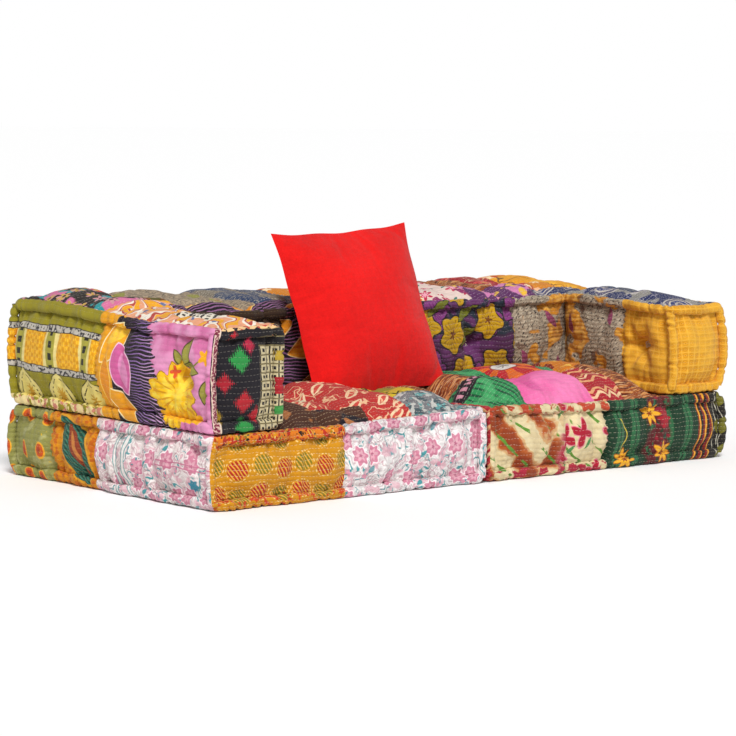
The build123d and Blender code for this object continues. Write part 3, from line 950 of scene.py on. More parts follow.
# Simpler prints: ground, thread, pitch and strength of the stitches, then layers
CLOUDS, VEINS, STREAKS, SCATTER = Cloth.clouds, Cloth.veins, Cloth.streaks, Cloth.scatter
for name, ground, thread, pitch, stitch, *layers in (
    ("teal_floral", "2e2824", "e8dcc8", 0.014, 0.6, (CLOUDS, "2f8f93", 10, 0.56, 1),
     (CLOUDS, "cf6f98", 9, 0.58, 5),
     (SCATTER, 0.07, 0.8, 2, ("c98f94", 0.024, 6, 0.3), ("c9a24a", 0.022, 5, 0.35, 0.5),
      ("3a2420", 0.006, 1, 0))),
    ("red_bloom", "9c1f28", "f0d8c0", 0.013, 0.7,
     (SCATTER, 0.10, 0.7, 2, ("cf4a4a", 0.040, 7, 0.3), ("c9a04a", 0.014, 5, 0.3)),
     (VEINS, "d8b78f", 16, 0.016, 5)),
    ("beige_olive", "8d7c68", "d8ccb4", 0.0125, 0.8, (STREAKS, "b09c80", 130, 50, 0.52, 2, 0.8),
     (STREAKS, "55524a", 60, 150, 0.6, 4, 0.8),
     (SCATTER, 0.13, 0.7, 3,
      ("8c8a44", 0.045, -0.020, 0.5, 0.45), ("b5483f", 0.018, 5, 0.3, 0.7))),
    ("slate_kantha", "4f5566", "e6e0d4", 0.011, 1.0, (CLOUDS, "7c7263", 6, 0.55, 2),
     (CLOUDS, "31405f", 7, 0.57, 6), (CLOUDS, "a39b8c", 90, 0.62, 4, 0.7)),
    ("dark_ochre", "37261a", "b89a68", 0.014, 0.5,
     (SCATTER, 0.16, 0.6, 2, ("a8741c", 0.058, 5, 0.35), ("6a3c14", 0.036, 5, 0.35),
      ("5a5422", 0.046, -0.016, 1.3, 0.5))),
    ("orange_tan", "cf7f1f", "f4e4c4", 0.013, 0.7, (CLOUDS, "e8b48c", 7, 0.56, 3),
     (CLOUDS, "b8402c", 9, 0.60, 6), (SCATTER, 0.06, 0.8, 2, ("f0d9b0", 0.016, 5, 0.3, 0.5))),
    ("pink_scatter", "dcc6bc", "f4e4dc", 0.013, 0.6,
     (SCATTER, 0.065, 0.8, 1, ("b82f4f", 0.024, 6, 0.3), ("e8a4b4", 0.012, 6, 0.3)),
     (SCATTER, 0.07, 0.9, 4, ("3f7a6c", 0.015, -0.005, 0.6)), (CLOUDS, "8c2f5f", 11, 0.63, 6)),
    ("amber_puff", "e29a1c", "f8e0a0", 0.013, 0.6, (CLOUDS, "efb43c", 9, 0.5, 2, 0.7, 1, 0.1),
     (VEINS, "6f4a1c", 6, 0.008, 4), (CLOUDS, "c9761a", 120, 0.62, 6, 0.6)),
    ("red_leaf", "b5302c", "f4dcc4", 0.013, 0.6,
     (SCATTER, 0.085, 0.7, 1, ("e8cba4", 0.045, -0.014, 0.6), ("c9483c", 0.036, -0.006, 0.6)),
     (VEINS, "e4b58c", 15, 0.014, 4)),
    ("lemon_twig", "cbb02c", "f0e4a0", 0.014, 0.5, (VEINS, "1f1c14", 9, 0.014, 3),
     (CLOUDS, "8c8a2c", 12, 0.6, 7)),
    ("rust_weave", "8a4420", "e4c8a0", 0.012, 0.7, (STREAKS, "c98a4f", 30, 150, 0.55, 2),
     (STREAKS, "5c2414", 25, 110, 0.58, 5), (STREAKS, "d8b48a", 16, 240, 0.66, 7)),
    ("plain_pink", "e0609c", "f6c4de", 0.016, 0.4, (CLOUDS, "ee88b8", 5, 0.5, 3, 0.7, 1, 0.15),
     (CLOUDS, "c44f8e", 12, 0.62, 6, 0.5, 1, 0.08)),
    ("brown_night", "4a2c1f", "d8b890", 0.013, 1, (CLOUDS, "1f1a22", 8, 0.55, 2),
     (CLOUDS, "a86a3c", 14, 0.6, 4)),
    ("grey_spray", "77777a", "e8e4dc", 0.012, 1, (CLOUDS, "bdbcb6", 38, 0.54, 2),
     (CLOUDS, "48575c", 30, 0.58, 5), (CLOUDS, "5f9a9a", 46, 0.62, 7)),
    ("peach_spray", "d8a078", "f4e0c4", 0.013, 1, (CLOUDS, "c9503c", 16, 0.58, 2),
     (CLOUDS, "f0d8b4", 22, 0.57, 4)),
    ("amber_stripe", "c9741c", "f4dca0", 0.013, 1, (CLOUDS, "7f2a1c", 12, 0.58, 3),
     (CLOUDS, "e8b84c", 18, 0.6, 6)),
    ("plum_spray", "5c2f5c", "d8c0d8", 0.013, 1, (CLOUDS, "c97aa8", 18, 0.58, 3),
     (CLOUDS, "e0b23c", 24, 0.64, 5)),
):
    cloth = Cloth(name, ground, wobble=0.005)
    for layer, *values in layers:
        layer(cloth, *values)
    cloth.finish(thread, pitch, stitch)

# Plain weaves
for name, ground, deep in (
    ("red", "e01210", "c60b0a"), ("lining", "8a7a62", "6f6250"), ("twine", "d8cdb2", "b8ab8c")
):
    cloth = Cloth(name, ground, wobble=0)
    cloth.clouds(deep, 5, 0.5, 3, 0.35, blur=0.25)
    cloth.finish(stitch=0, rough=0.9)


# Blocks


class Block:
    """One mattress or bolster: its plan, its tufts and its patches."""

    def __init__(self, name, plan, base, height, tufts, side_tufts, sides, tops, seed):
        self.name, self.base, self.height, self.seed = name, base, height, seed
        self.middle = base + height / 2
        self.is_left, self.is_seat = name.startswith("left"), name.endswith("seat")
        self.plan = plan if self.is_left else mirrored(plan)
        mirror = 1 if self.is_left else -1
        self.tufts = [(x * mirror, y, floor) for x, y, floor in tufts]
        self.side_tufts = [(x * mirror, y) for x, y in side_tufts]
        self.steps = corner_steps(self.plan)
        self.ring = Ring(self.plan, ROLL_RADIUS, ROLL_BEND, ROLL_STEP)
        self.pinches = {
            "top": Pinches(self.ring.length, seed + 1),
            "bottom": Pinches(self.ring.length, seed + 2),
        }
        self.tops = tops
        self.side_patches = [self.split_side(i, shares) for i, shares in enumerate(sides)]
        self.side_names = [patch[4] for patches in self.side_patches for patch in patches]

    def side_length(self, i):
        return np.linalg.norm(np.subtract(self.plan[(i + 1) % len(self.plan)], self.plan[i]))

    def split_side(self, i, shares):
        """The patches of a side as boxes, in metres along it and up it, with their cloths. The
        outer edges of the boxes lie beyond the side."""
        length, patches, start = self.side_length(i), [], 0.0
        for share, name in shares:
            stop = length * share
            patches.append((start if start else -1, -1, stop if share < 1 else 9, 9, name))
            start = stop
        return patches

    def patch_on_sides(self, side, flat):
        """Which of the patches of all sides lies at each place of its own side."""
        found, first = np.zeros(len(flat), int), 0
        for i, patches in enumerate(self.side_patches):
            found[side == i] = patch_of(patches, flat[side == i]) + first
            first += len(patches)
        return found

    def tufts_on(self, i):
        """x of each tuft that is on a side, and its distance along that side."""
        corner, _, after, _ = self.steps[i]
        spots = [np.array(spot) - corner for spot in self.side_tufts]
        on_side = [abs(spot @ left_of(after)) < SAME_PLACE for spot in spots]
        return [
            (x, spot @ after) for (x, _), spot, on in zip(self.side_tufts, spots, on_side) if on
        ]

    def top_grid(self):
        xs = sorted({x for x, _ in self.plan})
        ys = sorted({y for _, y in self.plan})
        is_l_shaped = len(xs) == 3
        x_stops = [xs[0] + TOP_INSET, xs[-1] - TOP_INSET]
        y_stops = [ys[0] + TOP_INSET, ys[-1] - TOP_INSET]
        if is_l_shaped:
            x_stops.insert(1, xs[1] + (-TOP_INSET if self.is_left else TOP_INSET))
            y_stops.insert(1, ys[1] + TOP_INSET)
        return grid(runs(*x_stops), runs(*y_stops), in_bolster if is_l_shaped else None)

    def side_grid(self, i):
        corner, _, after, convex = self.steps[i]
        next_convex = self.steps[(i + 1) % len(self.plan)][3]
        start = SIDE_END if convex else -SIDE_INSET
        stop = self.side_length(i) - (SIDE_END if next_convex else -SIDE_INSET)
        flat, faces, edge = grid(runs(start, stop), runs(SIDE_DROP, self.height - SIDE_DROP))
        xy = corner + flat[:, :1] * after + left_of(after) * SIDE_INSET
        return flat, faces, edge, np.column_stack([xy, flat[:, 1] + self.base])


def in_bolster(xy):
    arm = np.abs(xy[:, 0]) > 1 - ARM_WIDTH + TOP_INSET / 2
    return arm | (xy[:, 1] > BACK_FRONT_Y + TOP_INSET / 2)


def patch_of(patches, flat):
    """The index of the patch that each flat place lies in."""
    found = np.zeros(len(flat), int)
    for index, (u0, v0, u1, v1, _) in enumerate(patches):
        hit = (flat[:, 0] >= u0) & (flat[:, 0] < u1) & (flat[:, 1] >= v0) & (flat[:, 1] < v1)
        found[hit] = index
    return found


# Places of the tufts: across, back, and for an upright tuft the height of its floor
SEAT_TUFTS = []
for x in (-0.75, -0.5, -0.25):
    for y in (-0.25, 0.0, 0.25):
        in_bay = x > -0.7 and y < -0.1
        SEAT_TUFTS.append((x, y, BAY_TUFT_FLOOR if in_bay else COVERED_TUFT_FLOOR))
BOLSTER_TUFTS = [
    (x, y, BOLSTER_BASE + BOLSTER_HEIGHT - BOLSTER_TUFT_DROP)
    for x, y in ((-0.875, 0.01), (-0.75, 0.235), (-0.5, 0.235), (-0.25, 0.235))
]
# Side tufts come in pairs, one at each end of a tie
BOLSTER_SIDE_TUFTS = [
    (-1.0, ARM_TUFT_Y), (ARM_WIDTH - 1.0, ARM_TUFT_Y),
    (BACK_TUFT_X, BACK_FRONT_Y), (BACK_TUFT_X, 0.5),
]

# Each side of a block, from its first corner: how far each patch reaches, as a share of the
# side, and its cloth
LEFT_SEAT_SIDES = [
    [(0.46, "mustard_dots"), (1, "front_floral")],
    [(0.4, "grey_spray"), (1, "rust_weave")],
    [(0.3, "plum_spray"), (0.68, "navy_paisley"), (1, "orange_tan")],
    [(0.22, "sage_dots"), (0.44, "amber_leaf"), (1, "side_floral")],
]
RIGHT_SEAT_SIDES = [
    [(0.36, "crimson_zigzag"), (0.7, "slate_kantha"), (1, "amber_stripe")],
    [(0.5, "peach_spray"), (1, "crimson_zigzag")],
    [(0.49, "cream_tiedye"), (1, "green_bands")],
    [(0.3, "beige_olive"), (0.65, "pink_scatter"), (1, "golden_rings")],
]
LEFT_BOLSTER_SIDES = [
    [(1, "star_ikat")],
    [(0.5, "dark_ochre"), (1, "plum_spray")],
    [(0.5, "dark_ochre"), (1, "petal_stripes")],
    [(1, "beige_olive")],
    [(0.4, "red_bloom"), (0.7, "green_stripes"), (1, "slate_kantha")],
    [(0.47, "olive_arches"), (1, "pink_bloom")],
]
RIGHT_BOLSTER_SIDES = [
    [(0.25, "amber_puff"), (0.6, "navy_paisley"), (1, "pink_scatter")],
    [(1, "rust_weave")],
    [(0.72, "purple_flowers"), (1, "beige_flecks")],
    [(0.53, "beige_flecks"), (1, "golden_rings")],
    [(1, "golden_rings")],
    [(0.45, "orange_tan"), (1, "teal_floral")],
]

# Patches of the tops, as boxes in the row frame; a later one lies over those before it
LEFT_SEAT_TOP = [
    (-2, -2, 2, 2, "brown_night"),
    (-0.60, -0.40, -0.27, -0.08, "red_leaf"),
    (-0.42, -0.52, -0.27, -0.40, "red_leaf"),
    (-0.54, -0.08, -0.27, 0.01, "peach_spray"),
    (-0.27, -0.06, -0.12, 0.01, "black_check"),
    (-0.27, -0.34, -0.15, -0.06, "lemon_twig"),
    (-0.15, -0.34, 0.01, 0.01, "rust_weave"),
    (-0.27, -0.52, 0.01, -0.34, "grey_spray"),
]
RIGHT_SEAT_TOP = [
    (-2, -2, 2, 2, "amber_stripe"),
    (-0.01, -0.30, 0.14, 0.01, "rust_weave"),
    (-0.01, -0.52, 0.28, -0.28, "green_stripes"),
    (0.14, -0.30, 0.28, 0.01, "green_stripes"),
    (0.28, -0.32, 0.54, 0.01, "medallion"),
    (0.20, -0.52, 0.47, -0.30, "plain_pink"),
    (0.47, -0.52, 0.60, -0.24, "crimson_zigzag"),
    (0.60, -0.52, 0.80, -0.22, "rust_weave"),
]
LEFT_BOLSTER_TOP = [
    (-2, -2, 2, 2, "dark_ochre"),
    (-1.01, 0.08, -0.80, 0.51, "teal_floral"),
    (-0.80, 0.20, -0.64, 0.42, "red_bloom"),
    (-1.01, -0.51, -0.70, 0.08, "swirl_peach"),
    (-0.90, -0.34, -0.74, -0.18, "black_check"),
    (-0.74, 0.0, -0.44, 0.46, "beige_olive"),
    (-0.44, 0.05, -0.18, 0.46, "slate_kantha"),
    (-0.76, -0.06, 0.01, 0.05, "petal_stripes"),
    (-0.18, 0.05, 0.01, 0.51, "orange_tan"),
]
RIGHT_BOLSTER_TOP = [
    (-2, -2, 2, 2, "orange_tan"),
    (-0.01, -0.06, 0.20, 0.51, "orange_tan"),
    (0.20, -0.06, 0.38, 0.51, "pink_scatter"),
    (0.38, 0.10, 0.58, 0.51, "rust_weave"),
    (0.38, -0.06, 0.66, 0.12, "plum_spray"),
    (0.58, 0.12, 0.78, 0.51, "red_bloom"),
    (0.78, 0.04, 1.01, 0.36, "amber_puff"),
    (0.66, -0.51, 1.01, 0.04, "navy_paisley"),
    (0.86, -0.22, 1.01, 0.0, "slate_kantha"),
]
SEAT = (SEAT_PLAN, SEAT_BASE, SEAT_HEIGHT, SEAT_TUFTS, [])
BOLSTER = (BOLSTER_PLAN, BOLSTER_BASE, BOLSTER_HEIGHT, BOLSTER_TUFTS, BOLSTER_SIDE_TUFTS)
blocks = [
    Block("left_seat", *SEAT, LEFT_SEAT_SIDES, LEFT_SEAT_TOP, 10),
    Block("right_seat", *SEAT, RIGHT_SEAT_SIDES, RIGHT_SEAT_TOP, 20),
    Block("left_bolster", *BOLSTER, LEFT_BOLSTER_SIDES, LEFT_BOLSTER_TOP, 30),
    Block("right_bolster", *BOLSTER, RIGHT_BOLSTER_SIDES, RIGHT_BOLSTER_TOP, 40),
]


# Sewing: flat sheets, the simulation that stuffs them, then seams, folds and tufts


def bay(xy):
    """1 over the open part of a mattress's top and 0 where a bolster or an edge holds it down."""
    x, y = np.abs(xy[:, 0]), xy[:, 1]
    return (smoothstep(y, -0.5, -0.30) * smoothstep(x, -0.03, 0.13)
            * smoothstep(BACK_FRONT_Y - y, 0, 0.06) * smoothstep(1 - ARM_WIDTH - x, 0, 0.07))


def held_by_tuft(flat, spot):
    """The points of a grid that a tuft at that place holds, which is one at least."""
    away = np.hypot(*(flat - spot).T)
    return away < max(TUFT_HOLD, away.min() + SAME_PLACE)


def cover_form(block):
    """The sheets of a block before it is stuffed."""
    flat, faces, edge = block.top_grid()
    top = block.base + block.height
    height = np.where(edge, top - TOP_DROP, top - TOP_DROP / 2)
    if block.is_seat:
        height[~edge] += BAY_CROWN[block.name] * bay(flat[~edge])
    pinned = edge.copy()
    for x, y, floor in block.tufts:
        near = held_by_tuft(flat, (x, y))
        height[near] = floor
        pinned |= near
    under = np.where(edge, block.base + TOP_DROP, block.base + UNDERSIDE_RISE)
    everywhere = np.full(len(flat), True)
    sheets = [
        Sheet("top", 0, flat, faces, np.column_stack([flat, height]), pinned),
        Sheet("bottom", 0, flat, faces[:, ::-1], np.column_stack([flat, under]), everywhere),
    ]
    for i, (_, _, after, _) in enumerate(block.steps):
        flat, faces, pinned, points = block.side_grid(i)
        for _, along in block.tufts_on(i):
            near = held_by_tuft(flat, (along, block.height / 2))
            points[near, :2] += left_of(after) * (SIDE_TUFT_DEPTH - SIDE_INSET)
            pinned = pinned | near
        sheets.append(Sheet("side", i, flat, faces, points, pinned))
    return sheets


def stuff(name, sheets, top_fullness, side_fullness):
    """Cloth simulation of closed sheets under pressure. Returns each sheet's points."""
    points, faces, starts = join([(sheet.points, sheet.faces) for sheet in sheets])
    obj = new_mesh(name, points, faces)
    held, sides = obj.vertex_groups.new(name="held"), obj.vertex_groups.new(name="sides")
    held.add(np.flatnonzero(np.concatenate([s.pinned for s in sheets])).tolist(), 1, "REPLACE")
    for sheet, start in zip(sheets, starts):
        if sheet.kind != "top":
            sides.add(list(range(start, start + len(sheet.points))), 1, "REPLACE")
    cloth = obj.modifiers.new("cloth", "CLOTH")
    for key, value in CLOTH_SETTINGS.items():
        setattr(cloth.settings, key, value)
    cloth.settings.shrink_min, cloth.settings.shrink_max = -top_fullness, -side_fullness
    cloth.settings.effector_weights.gravity = 0
    cloth.collision_settings.use_collision = False
    cloth.point_cache.frame_start, cloth.point_cache.frame_end = 1, SIM_FRAMES
    scene = bpy.context.scene
    for number in range(1, SIM_FRAMES + 1):
        scene.frame_set(number)
    evaluated = obj.evaluated_get(bpy.context.evaluated_depsgraph_get())
    moved = read_points(evaluated.data) - points
    far = np.linalg.norm(moved, axis=1)
    found = points + moved * np.minimum(1, SIM_CAP / np.maximum(far, 1e-9))[:, None]
    bpy.data.objects.remove(obj)
    scene.frame_set(1)
    return [found[a:b] for a, b in zip(starts, starts[1:])]


def sew_block(block):
    """The top, bottom and side cloths of a block."""
    side_fullness = SEAT_SIDE_FULLNESS if block.is_seat else BOLSTER_SIDE_FULLNESS
    sheets = cover_form(block)
    stuffed = list(zip(sheets, stuff(block.name, sheets, TOP_FULLNESS, side_fullness)))
    made = {}
    for kind in ("top", "bottom", "side"):
        parts = [(sheet, points) for sheet, points in stuffed if sheet.kind == kind]
        points, faces, _ = join([(points, sheet.faces) for sheet, points in parts])
        flat = np.concatenate([sheet.flat + (sheet.side * SIDE_STRIDE, 0) for sheet, _ in parts])
        obj = made[kind] = new_mesh(f"{block.name}_{kind}_cloth", points, faces)
        set_map(obj, flat[faces.ravel()])
        refine(obj)
        finish_sheet(block, kind, obj)
    return made


def split_sides(flat):
    """The side that each place of a map of sides belongs to, and the place on that side."""
    side = np.floor(flat[:, 0] / SIDE_STRIDE + 0.05).astype(int)
    return side, flat - np.column_stack([side * SIDE_STRIDE, np.zeros(len(flat))])


def gather(block, level, flat_xy):
    """Ridges that run in from the stitches of a roll, and the distance from that roll."""
    travel, away = block.ring.nearest(flat_xy)
    share, pull = block.pinches[level].share(travel)
    return -np.cos(tau * share) * pull, away


def fold_depth(flat, height, seed):
    """Upright folds in a side, at uneven places, each deepest at one of the two rolls."""
    rng = np.random.default_rng(seed)
    depth, at = np.zeros(len(flat)), rng.uniform(0.05, 0.12)
    while at < flat[:, 0].max():
        sway = rng.uniform(-0.05, 0.05) * (flat[:, 1] - height / 2)
        sway += 0.004 * np.sin(flat[:, 1] * 40 + rng.uniform(0, tau))
        width, deep = rng.uniform(*FOLD_WIDTHS), rng.uniform(*FOLD_DEPTHS)
        low_end, high_end = rng.uniform(0.25, 1, 2)
        fade = low_end + (high_end - low_end) * flat[:, 1] / height
        fade *= 0.45 + 0.55 * np.abs(2 * flat[:, 1] / height - 1)
        depth = np.maximum(depth, deep * fade * np.exp(-((flat[:, 0] - at - sway) / width) ** 2))
        at += rng.uniform(*FOLD_SPACES)
    return depth


def seam_groove(flat, patches, width):
    """How deep the seams between patches draw the cloth in, at each flat place."""
    depth = np.zeros(len(flat))
    for u0, v0, u1, v1, _ in patches:
        for axis, at, low, high in (
            (0, u0, v0, v1), (0, u1, v0, v1), (1, v0, u0, u1), (1, v1, u0, u1)
        ):
            other = flat[:, 1 - axis]
            away = np.hypot(np.abs(flat[:, axis] - at), other - np.clip(other, low, high))
            pucker = 1 + 0.35 * np.sin(other * tau / PUCKER_PITCH + at * 50)
            depth = np.maximum(depth, pucker * np.exp(-(away / width) ** 2))
    return depth


def tuft_folds(flat, spot, counts, phases, reach, width):
    """Folds round a tuft, at their highest at that reach, and the distance from the tuft."""
    rel = flat - spot
    away, turn = np.hypot(rel[:, 0], rel[:, 1]), np.arctan2(rel[:, 1], rel[:, 0])
    fold = np.cos(turn * counts[0] + phases[0]) + 0.6 * np.cos(turn * counts[1] + phases[1])
    return fold * np.exp(-((away - reach) / width) ** 2), away


def side_lift(block, points, side, own):
    """How far out the stitches, seams, folds and tufts move each point of the sides."""
    lift = np.zeros(len(points))
    for level, edge_height in (("top", block.height - SIDE_DROP), ("bottom", SIDE_DROP)):
        ridge, _ = gather(block, level, points[:, :2])
        lift += SIDE_RIDGE * ridge * np.exp(-np.abs(own[:, 1] - edge_height) / RIDGE_FADE)
    for i, patches in enumerate(block.side_patches):
        here = side == i
        flat, part = own[here], lift[here]
        part -= SIDE_SEAM_DEPTH * seam_groove(flat, patches, SIDE_SEAM_WIDTH)
        part -= fold_depth(flat, block.height, block.seed + 60 + i)
        end = np.minimum(flat[:, 0] - flat[:, 0].min(), flat[:, 0].max() - flat[:, 0])
        rise = 1 - np.abs(2 * flat[:, 1] / block.height - 1) ** 2.4
        part += SIDE_CROWN * rise * smoothstep(end, 0, 0.06)
        rim = np.minimum(flat[:, 1], block.height - flat[:, 1]) - SIDE_DROP
        part *= 0.15 + 0.85 * smoothstep(np.minimum(rim, end), 0, 0.012)
        for x, along in block.tufts_on(i):
            folds, away = tuft_folds(
                flat, (along, block.height / 2), (6, 3), (i, x * 9), SIDE_TUFT_REACH, 0.035
            )
            part += 0.0055 * folds - 0.030 * np.exp(-(away / SIDE_TUFT_REACH) ** 1.5)
        lift[here] = part
    return lift


def top_lift(block, points, flat):
    """How far up the stitches, seams and tufts move each point of a top."""
    ridge, away = gather(block, "top", points[:, :2])
    lift = TOP_RIDGE * ridge * np.exp(-np.maximum(away - 0.012, 0) / 0.03)
    lift -= TOP_SEAM_DEPTH * seam_groove(flat, block.tops, TOP_SEAM_WIDTH)
    for x, y, _ in block.tufts:
        folds, _ = tuft_folds(flat, (x, y), (7, 4), (x * 9, y * 9), TOP_TUFT_REACH, 0.03)
        lift += 0.003 * folds
    return lift * smoothstep(block.ring.nearest(flat)[1], 0.002, 0.018)


def tuck_corner(block, points):
    """Draw the inner corner of a bolster in at its tuft. Above and below the tuft the cloth
    bridges the corner."""
    for corner, before, after, convex in block.steps:
        if convex:
            continue
        rel = points - (*corner, block.middle)
        away, beside = np.linalg.norm(rel, axis=1), np.linalg.norm(rel[:, :2], axis=1)
        turn = np.arctan2(rel[:, 2], rel[:, :2] @ after)
        fold = np.cos(turn * 9) * np.exp(-((away - TUCK_REACH) / 0.035) ** 2)
        dent = TUCK_DEPTH * np.exp(-(away / TUCK_REACH) ** 1.3) + 0.006 * fold
        rise = np.clip((points[:, 2] - block.base) / block.height, 0, 1)
        bridge = BRIDGE * np.exp(-(beside / TUCK_REACH) ** 1.5) * (1 - np.abs(2 * rise - 1) ** 3)
        deep = (left_of(before) + left_of(after)) / np.sqrt(2)
        points[:, :2] += deep * (dent - bridge)[:, None]


def hold_sides(block, points, side):
    """Stop the sides softly before they swell too far or reach the other half of the sofa."""
    for i, (corner, _, after, _) in enumerate(block.steps):
        here, out = side == i, -left_of(after)
        proud = (points[here, :2] - corner) @ out
        faces_other_half = abs(corner @ out) < SAME_PLACE and out[0]
        limit = -CLEAR_OF_NEIGHBOUR if faces_other_half else SIDE_SWELL
        over = np.maximum(proud - limit + SOFT_STOP, 0)
        settled = proud - over + SOFT_STOP * (1 - np.exp(-over / SOFT_STOP))
        points[here, :2] += out * (settled - proud)[:, None]


def soften(block, points):
    """The soft, uneven shape that hand stuffing gives a block."""
    x, y, z = points.T
    moved = points.copy()
    for axis in range(3):
        moved[:, axis] += UNEVEN * waves(points, axis * 7 + 3, 0.42)
        moved[:, axis] += UNEVEN * 0.6 * waves(points, axis * 5 + 80, 0.15)
    # The sides swell out between their rolls
    bulge = BARREL * (1 - (2 * np.clip((z - block.base) / block.height, 0, 1) - 1) ** 2)
    moved[:, 0] += np.sign(x) * bulge * smoothstep(np.abs(x), 0.6, 1.0)
    moved[:, 1] += 0.5 * np.sign(y) * bulge * smoothstep(np.abs(y), 0.25, 0.5)
    # Level where a block rests on the floor or on a mattress, and full between
    resting = smoothstep(np.minimum(z, np.abs(z - BOLSTER_BASE)), 0.0, 0.07)
    moved[:, 2] = z + (moved[:, 2] - z) * (0.12 + 0.88 * resting)
    # The mattresses stand highest at the middle of the front, and the halves meet in a plane
    middle = np.exp(-(x / 0.3) ** 2) * smoothstep(-y, 0.05, 0.45)
    moved[:, 2] += MIDDLE_RAISE * middle * smoothstep(z, 0, SEAT_HEIGHT)
    moved[:, 0] = x + (moved[:, 0] - x) * (0.1 + 0.9 * smoothstep(np.abs(x), 0, 0.05))
    # The left bolster stands higher at its rear corner, and the right arm sags at its front
    up = np.clip((z - BOLSTER_BASE) / BOLSTER_HEIGHT, 0, 1)
    if block.name == "left_bolster":
        rear = smoothstep(-x, 0.45, 1.0) * smoothstep(y, -0.35, 0.35)
        moved[:, 2] += REAR_RAISE * up * rear
    if block.name == "right_bolster":
        front = smoothstep(-y, 0.0, 0.5) * smoothstep(x, 0.6, 0.8)
        moved[:, 2] -= ARM_SAG * up * front
    moved[:, 2] = np.maximum(moved[:, 2], LOWEST)
    return moved


def finish_sheet(block, kind, obj):
    """Give a stuffed cloth its seams, folds and tufts, its soft shape and its patches."""
    mesh = obj.data
    points, normals = read_points(mesh), read(mesh.vertex_normals, "vector", 3).astype(float)
    flat, centers = vertex_map(mesh), face_map(mesh)
    side, own = split_sides(flat)
    lift = np.zeros(len(points))
    if kind == "side":
        lift = side_lift(block, points, side, own)
    elif kind == "top":
        lift = top_lift(block, points, flat)
    for size, seed, length in ((0.0012, block.seed + 3, 0.06), (0.001, block.seed + 4, 0.03)):
        lift += size * waves(points, seed, length)
    points = points + normals * lift[:, None]
    found, names = np.zeros(len(centers), int), ["lining"]
    if kind == "side":
        tuck_corner(block, points)
        hold_sides(block, points, side)
        found, names = block.patch_on_sides(*split_sides(centers)), block.side_names
        set_map(obj, split_sides(read_map(mesh))[1])
    elif kind == "top":
        found, names = patch_of(block.tops, centers), [patch[4] for patch in block.tops]
        if block.is_seat:
            limit = SEAT_HEIGHT - CLEAR_OF_BOLSTER + BAY_RISE * np.sqrt(bay(points))
            points[:, 2] = np.minimum(points[:, 2], limit)
    else:
        points[:, 2] = np.maximum(points[:, 2], block.base + 0.0005)
    write_points(mesh, soften(block, points))
    paint(obj, found, names)


# Rolls and ties


def bead(radius, share, pull):
    """The radius of a roll between two stitches that draw it in."""
    return radius * np.minimum(1 - BEAD_DEPTH * pull * np.abs(2 * share - 1) ** 2.4, 1)


def sew_edge_roll(block, level):
    """The stuffed roll round the top or the bottom of a block, half in the cloths of the sides."""
    ring, count = block.ring, len(block.ring.points)
    center_z = block.base + (ROLL_RADIUS if level == "bottom" else block.height - ROLL_RADIUS)
    angles = np.arange(ROLL_SIDES) * tau / ROLL_SIDES - pi / 2
    points = np.empty((count, ROLL_SIDES, 3))
    free = smoothstep(np.abs(ring.points[:, 0]), 0.02, 0.06)
    wander = ROLL_WANDER * free * waves(ring.points, block.seed + len(level), 0.11)
    uneven = 1 - 0.05 * (1 + waves(ring.points, block.seed + 5, 0.12))
    touching = (block.base > 0) == (level == "bottom")
    for j, angle in enumerate(angles):
        pressed = touching and (sin(angle) > 0) == (level == "top")
        squash = CONTACT_SQUASH if pressed else ROLL_SQUASH
        share, pull = block.pinches[level].share(ring.travel + STITCH_SLANT * sin(angle))
        radius = bead(ROLL_RADIUS, share, pull) * uneven
        out = radius * np.sign(cos(angle)) * abs(cos(angle)) ** squash + wander
        points[:, j, :2] = ring.points + ring.outs * out[:, None]
        points[:, j, 2] = center_z + radius * np.sign(sin(angle)) * abs(sin(angle)) ** squash
    beside = np.abs(points[..., 0]) < CLEAR_OF_NEIGHBOUR / 2
    points[..., 0][beside] = (-1 if block.is_left else 1) * CLEAR_OF_NEIGHBOUR / 2
    faces = tube_faces(count, ROLL_SIDES, closed=True, along_first=True)
    obj = new_mesh(f"{block.name}_{level}_roll", soften(block, points.reshape(-1, 3)), faces)

    middle = angles + pi / ROLL_SIDES
    on_side = middle < ROLL_SEAM_ANGLE if level == "top" else middle > -ROLL_SEAM_ANGLE
    found = np.empty((count, ROLL_SIDES), int)
    at_side = np.column_stack([ring.along, np.full(count, 0.1)])
    found[:] = block.patch_on_sides(ring.sides, at_side)[:, None]
    names = [*block.side_names, "lining"]
    beyond = np.full(count, len(block.side_names))
    if level == "top":
        names = block.side_names + [patch[4] for patch in block.tops]
        beyond += patch_of(block.tops, ring.points - ring.outs * 0.03)
    found[:, ~on_side] = beyond[:, None]
    places = np.empty((count, ROLL_SIDES, 4, 2))
    for c, (di, dj) in enumerate(((0, 0), (1, 0), (1, 1), (0, 1))):
        angle = (angles + dj * tau / ROLL_SIDES)[None, :, None]
        at = np.roll(ring.along, -di)
        at = np.where(np.abs(at - ring.along) > 0.1, ring.along + di * ROLL_STEP, at)
        along = np.broadcast_to(at[:, None], (count, ROLL_SIDES))
        rise = center_z - block.base + ROLL_RADIUS * angle[..., 0]
        side_place = np.stack([along, np.broadcast_to(rise, along.shape)], -1)
        spots, outs = np.roll(ring.points, -di, 0), np.roll(ring.outs, -di, 0)
        top_place = spots[:, None] + outs[:, None] * (ROLL_RADIUS * (pi / 2 - angle))
        places[:, :, c] = np.where(on_side[None, :, None], side_place, top_place)
    set_map(obj, places.reshape(-1, 2))
    paint(obj, found.ravel(), names)
    return obj


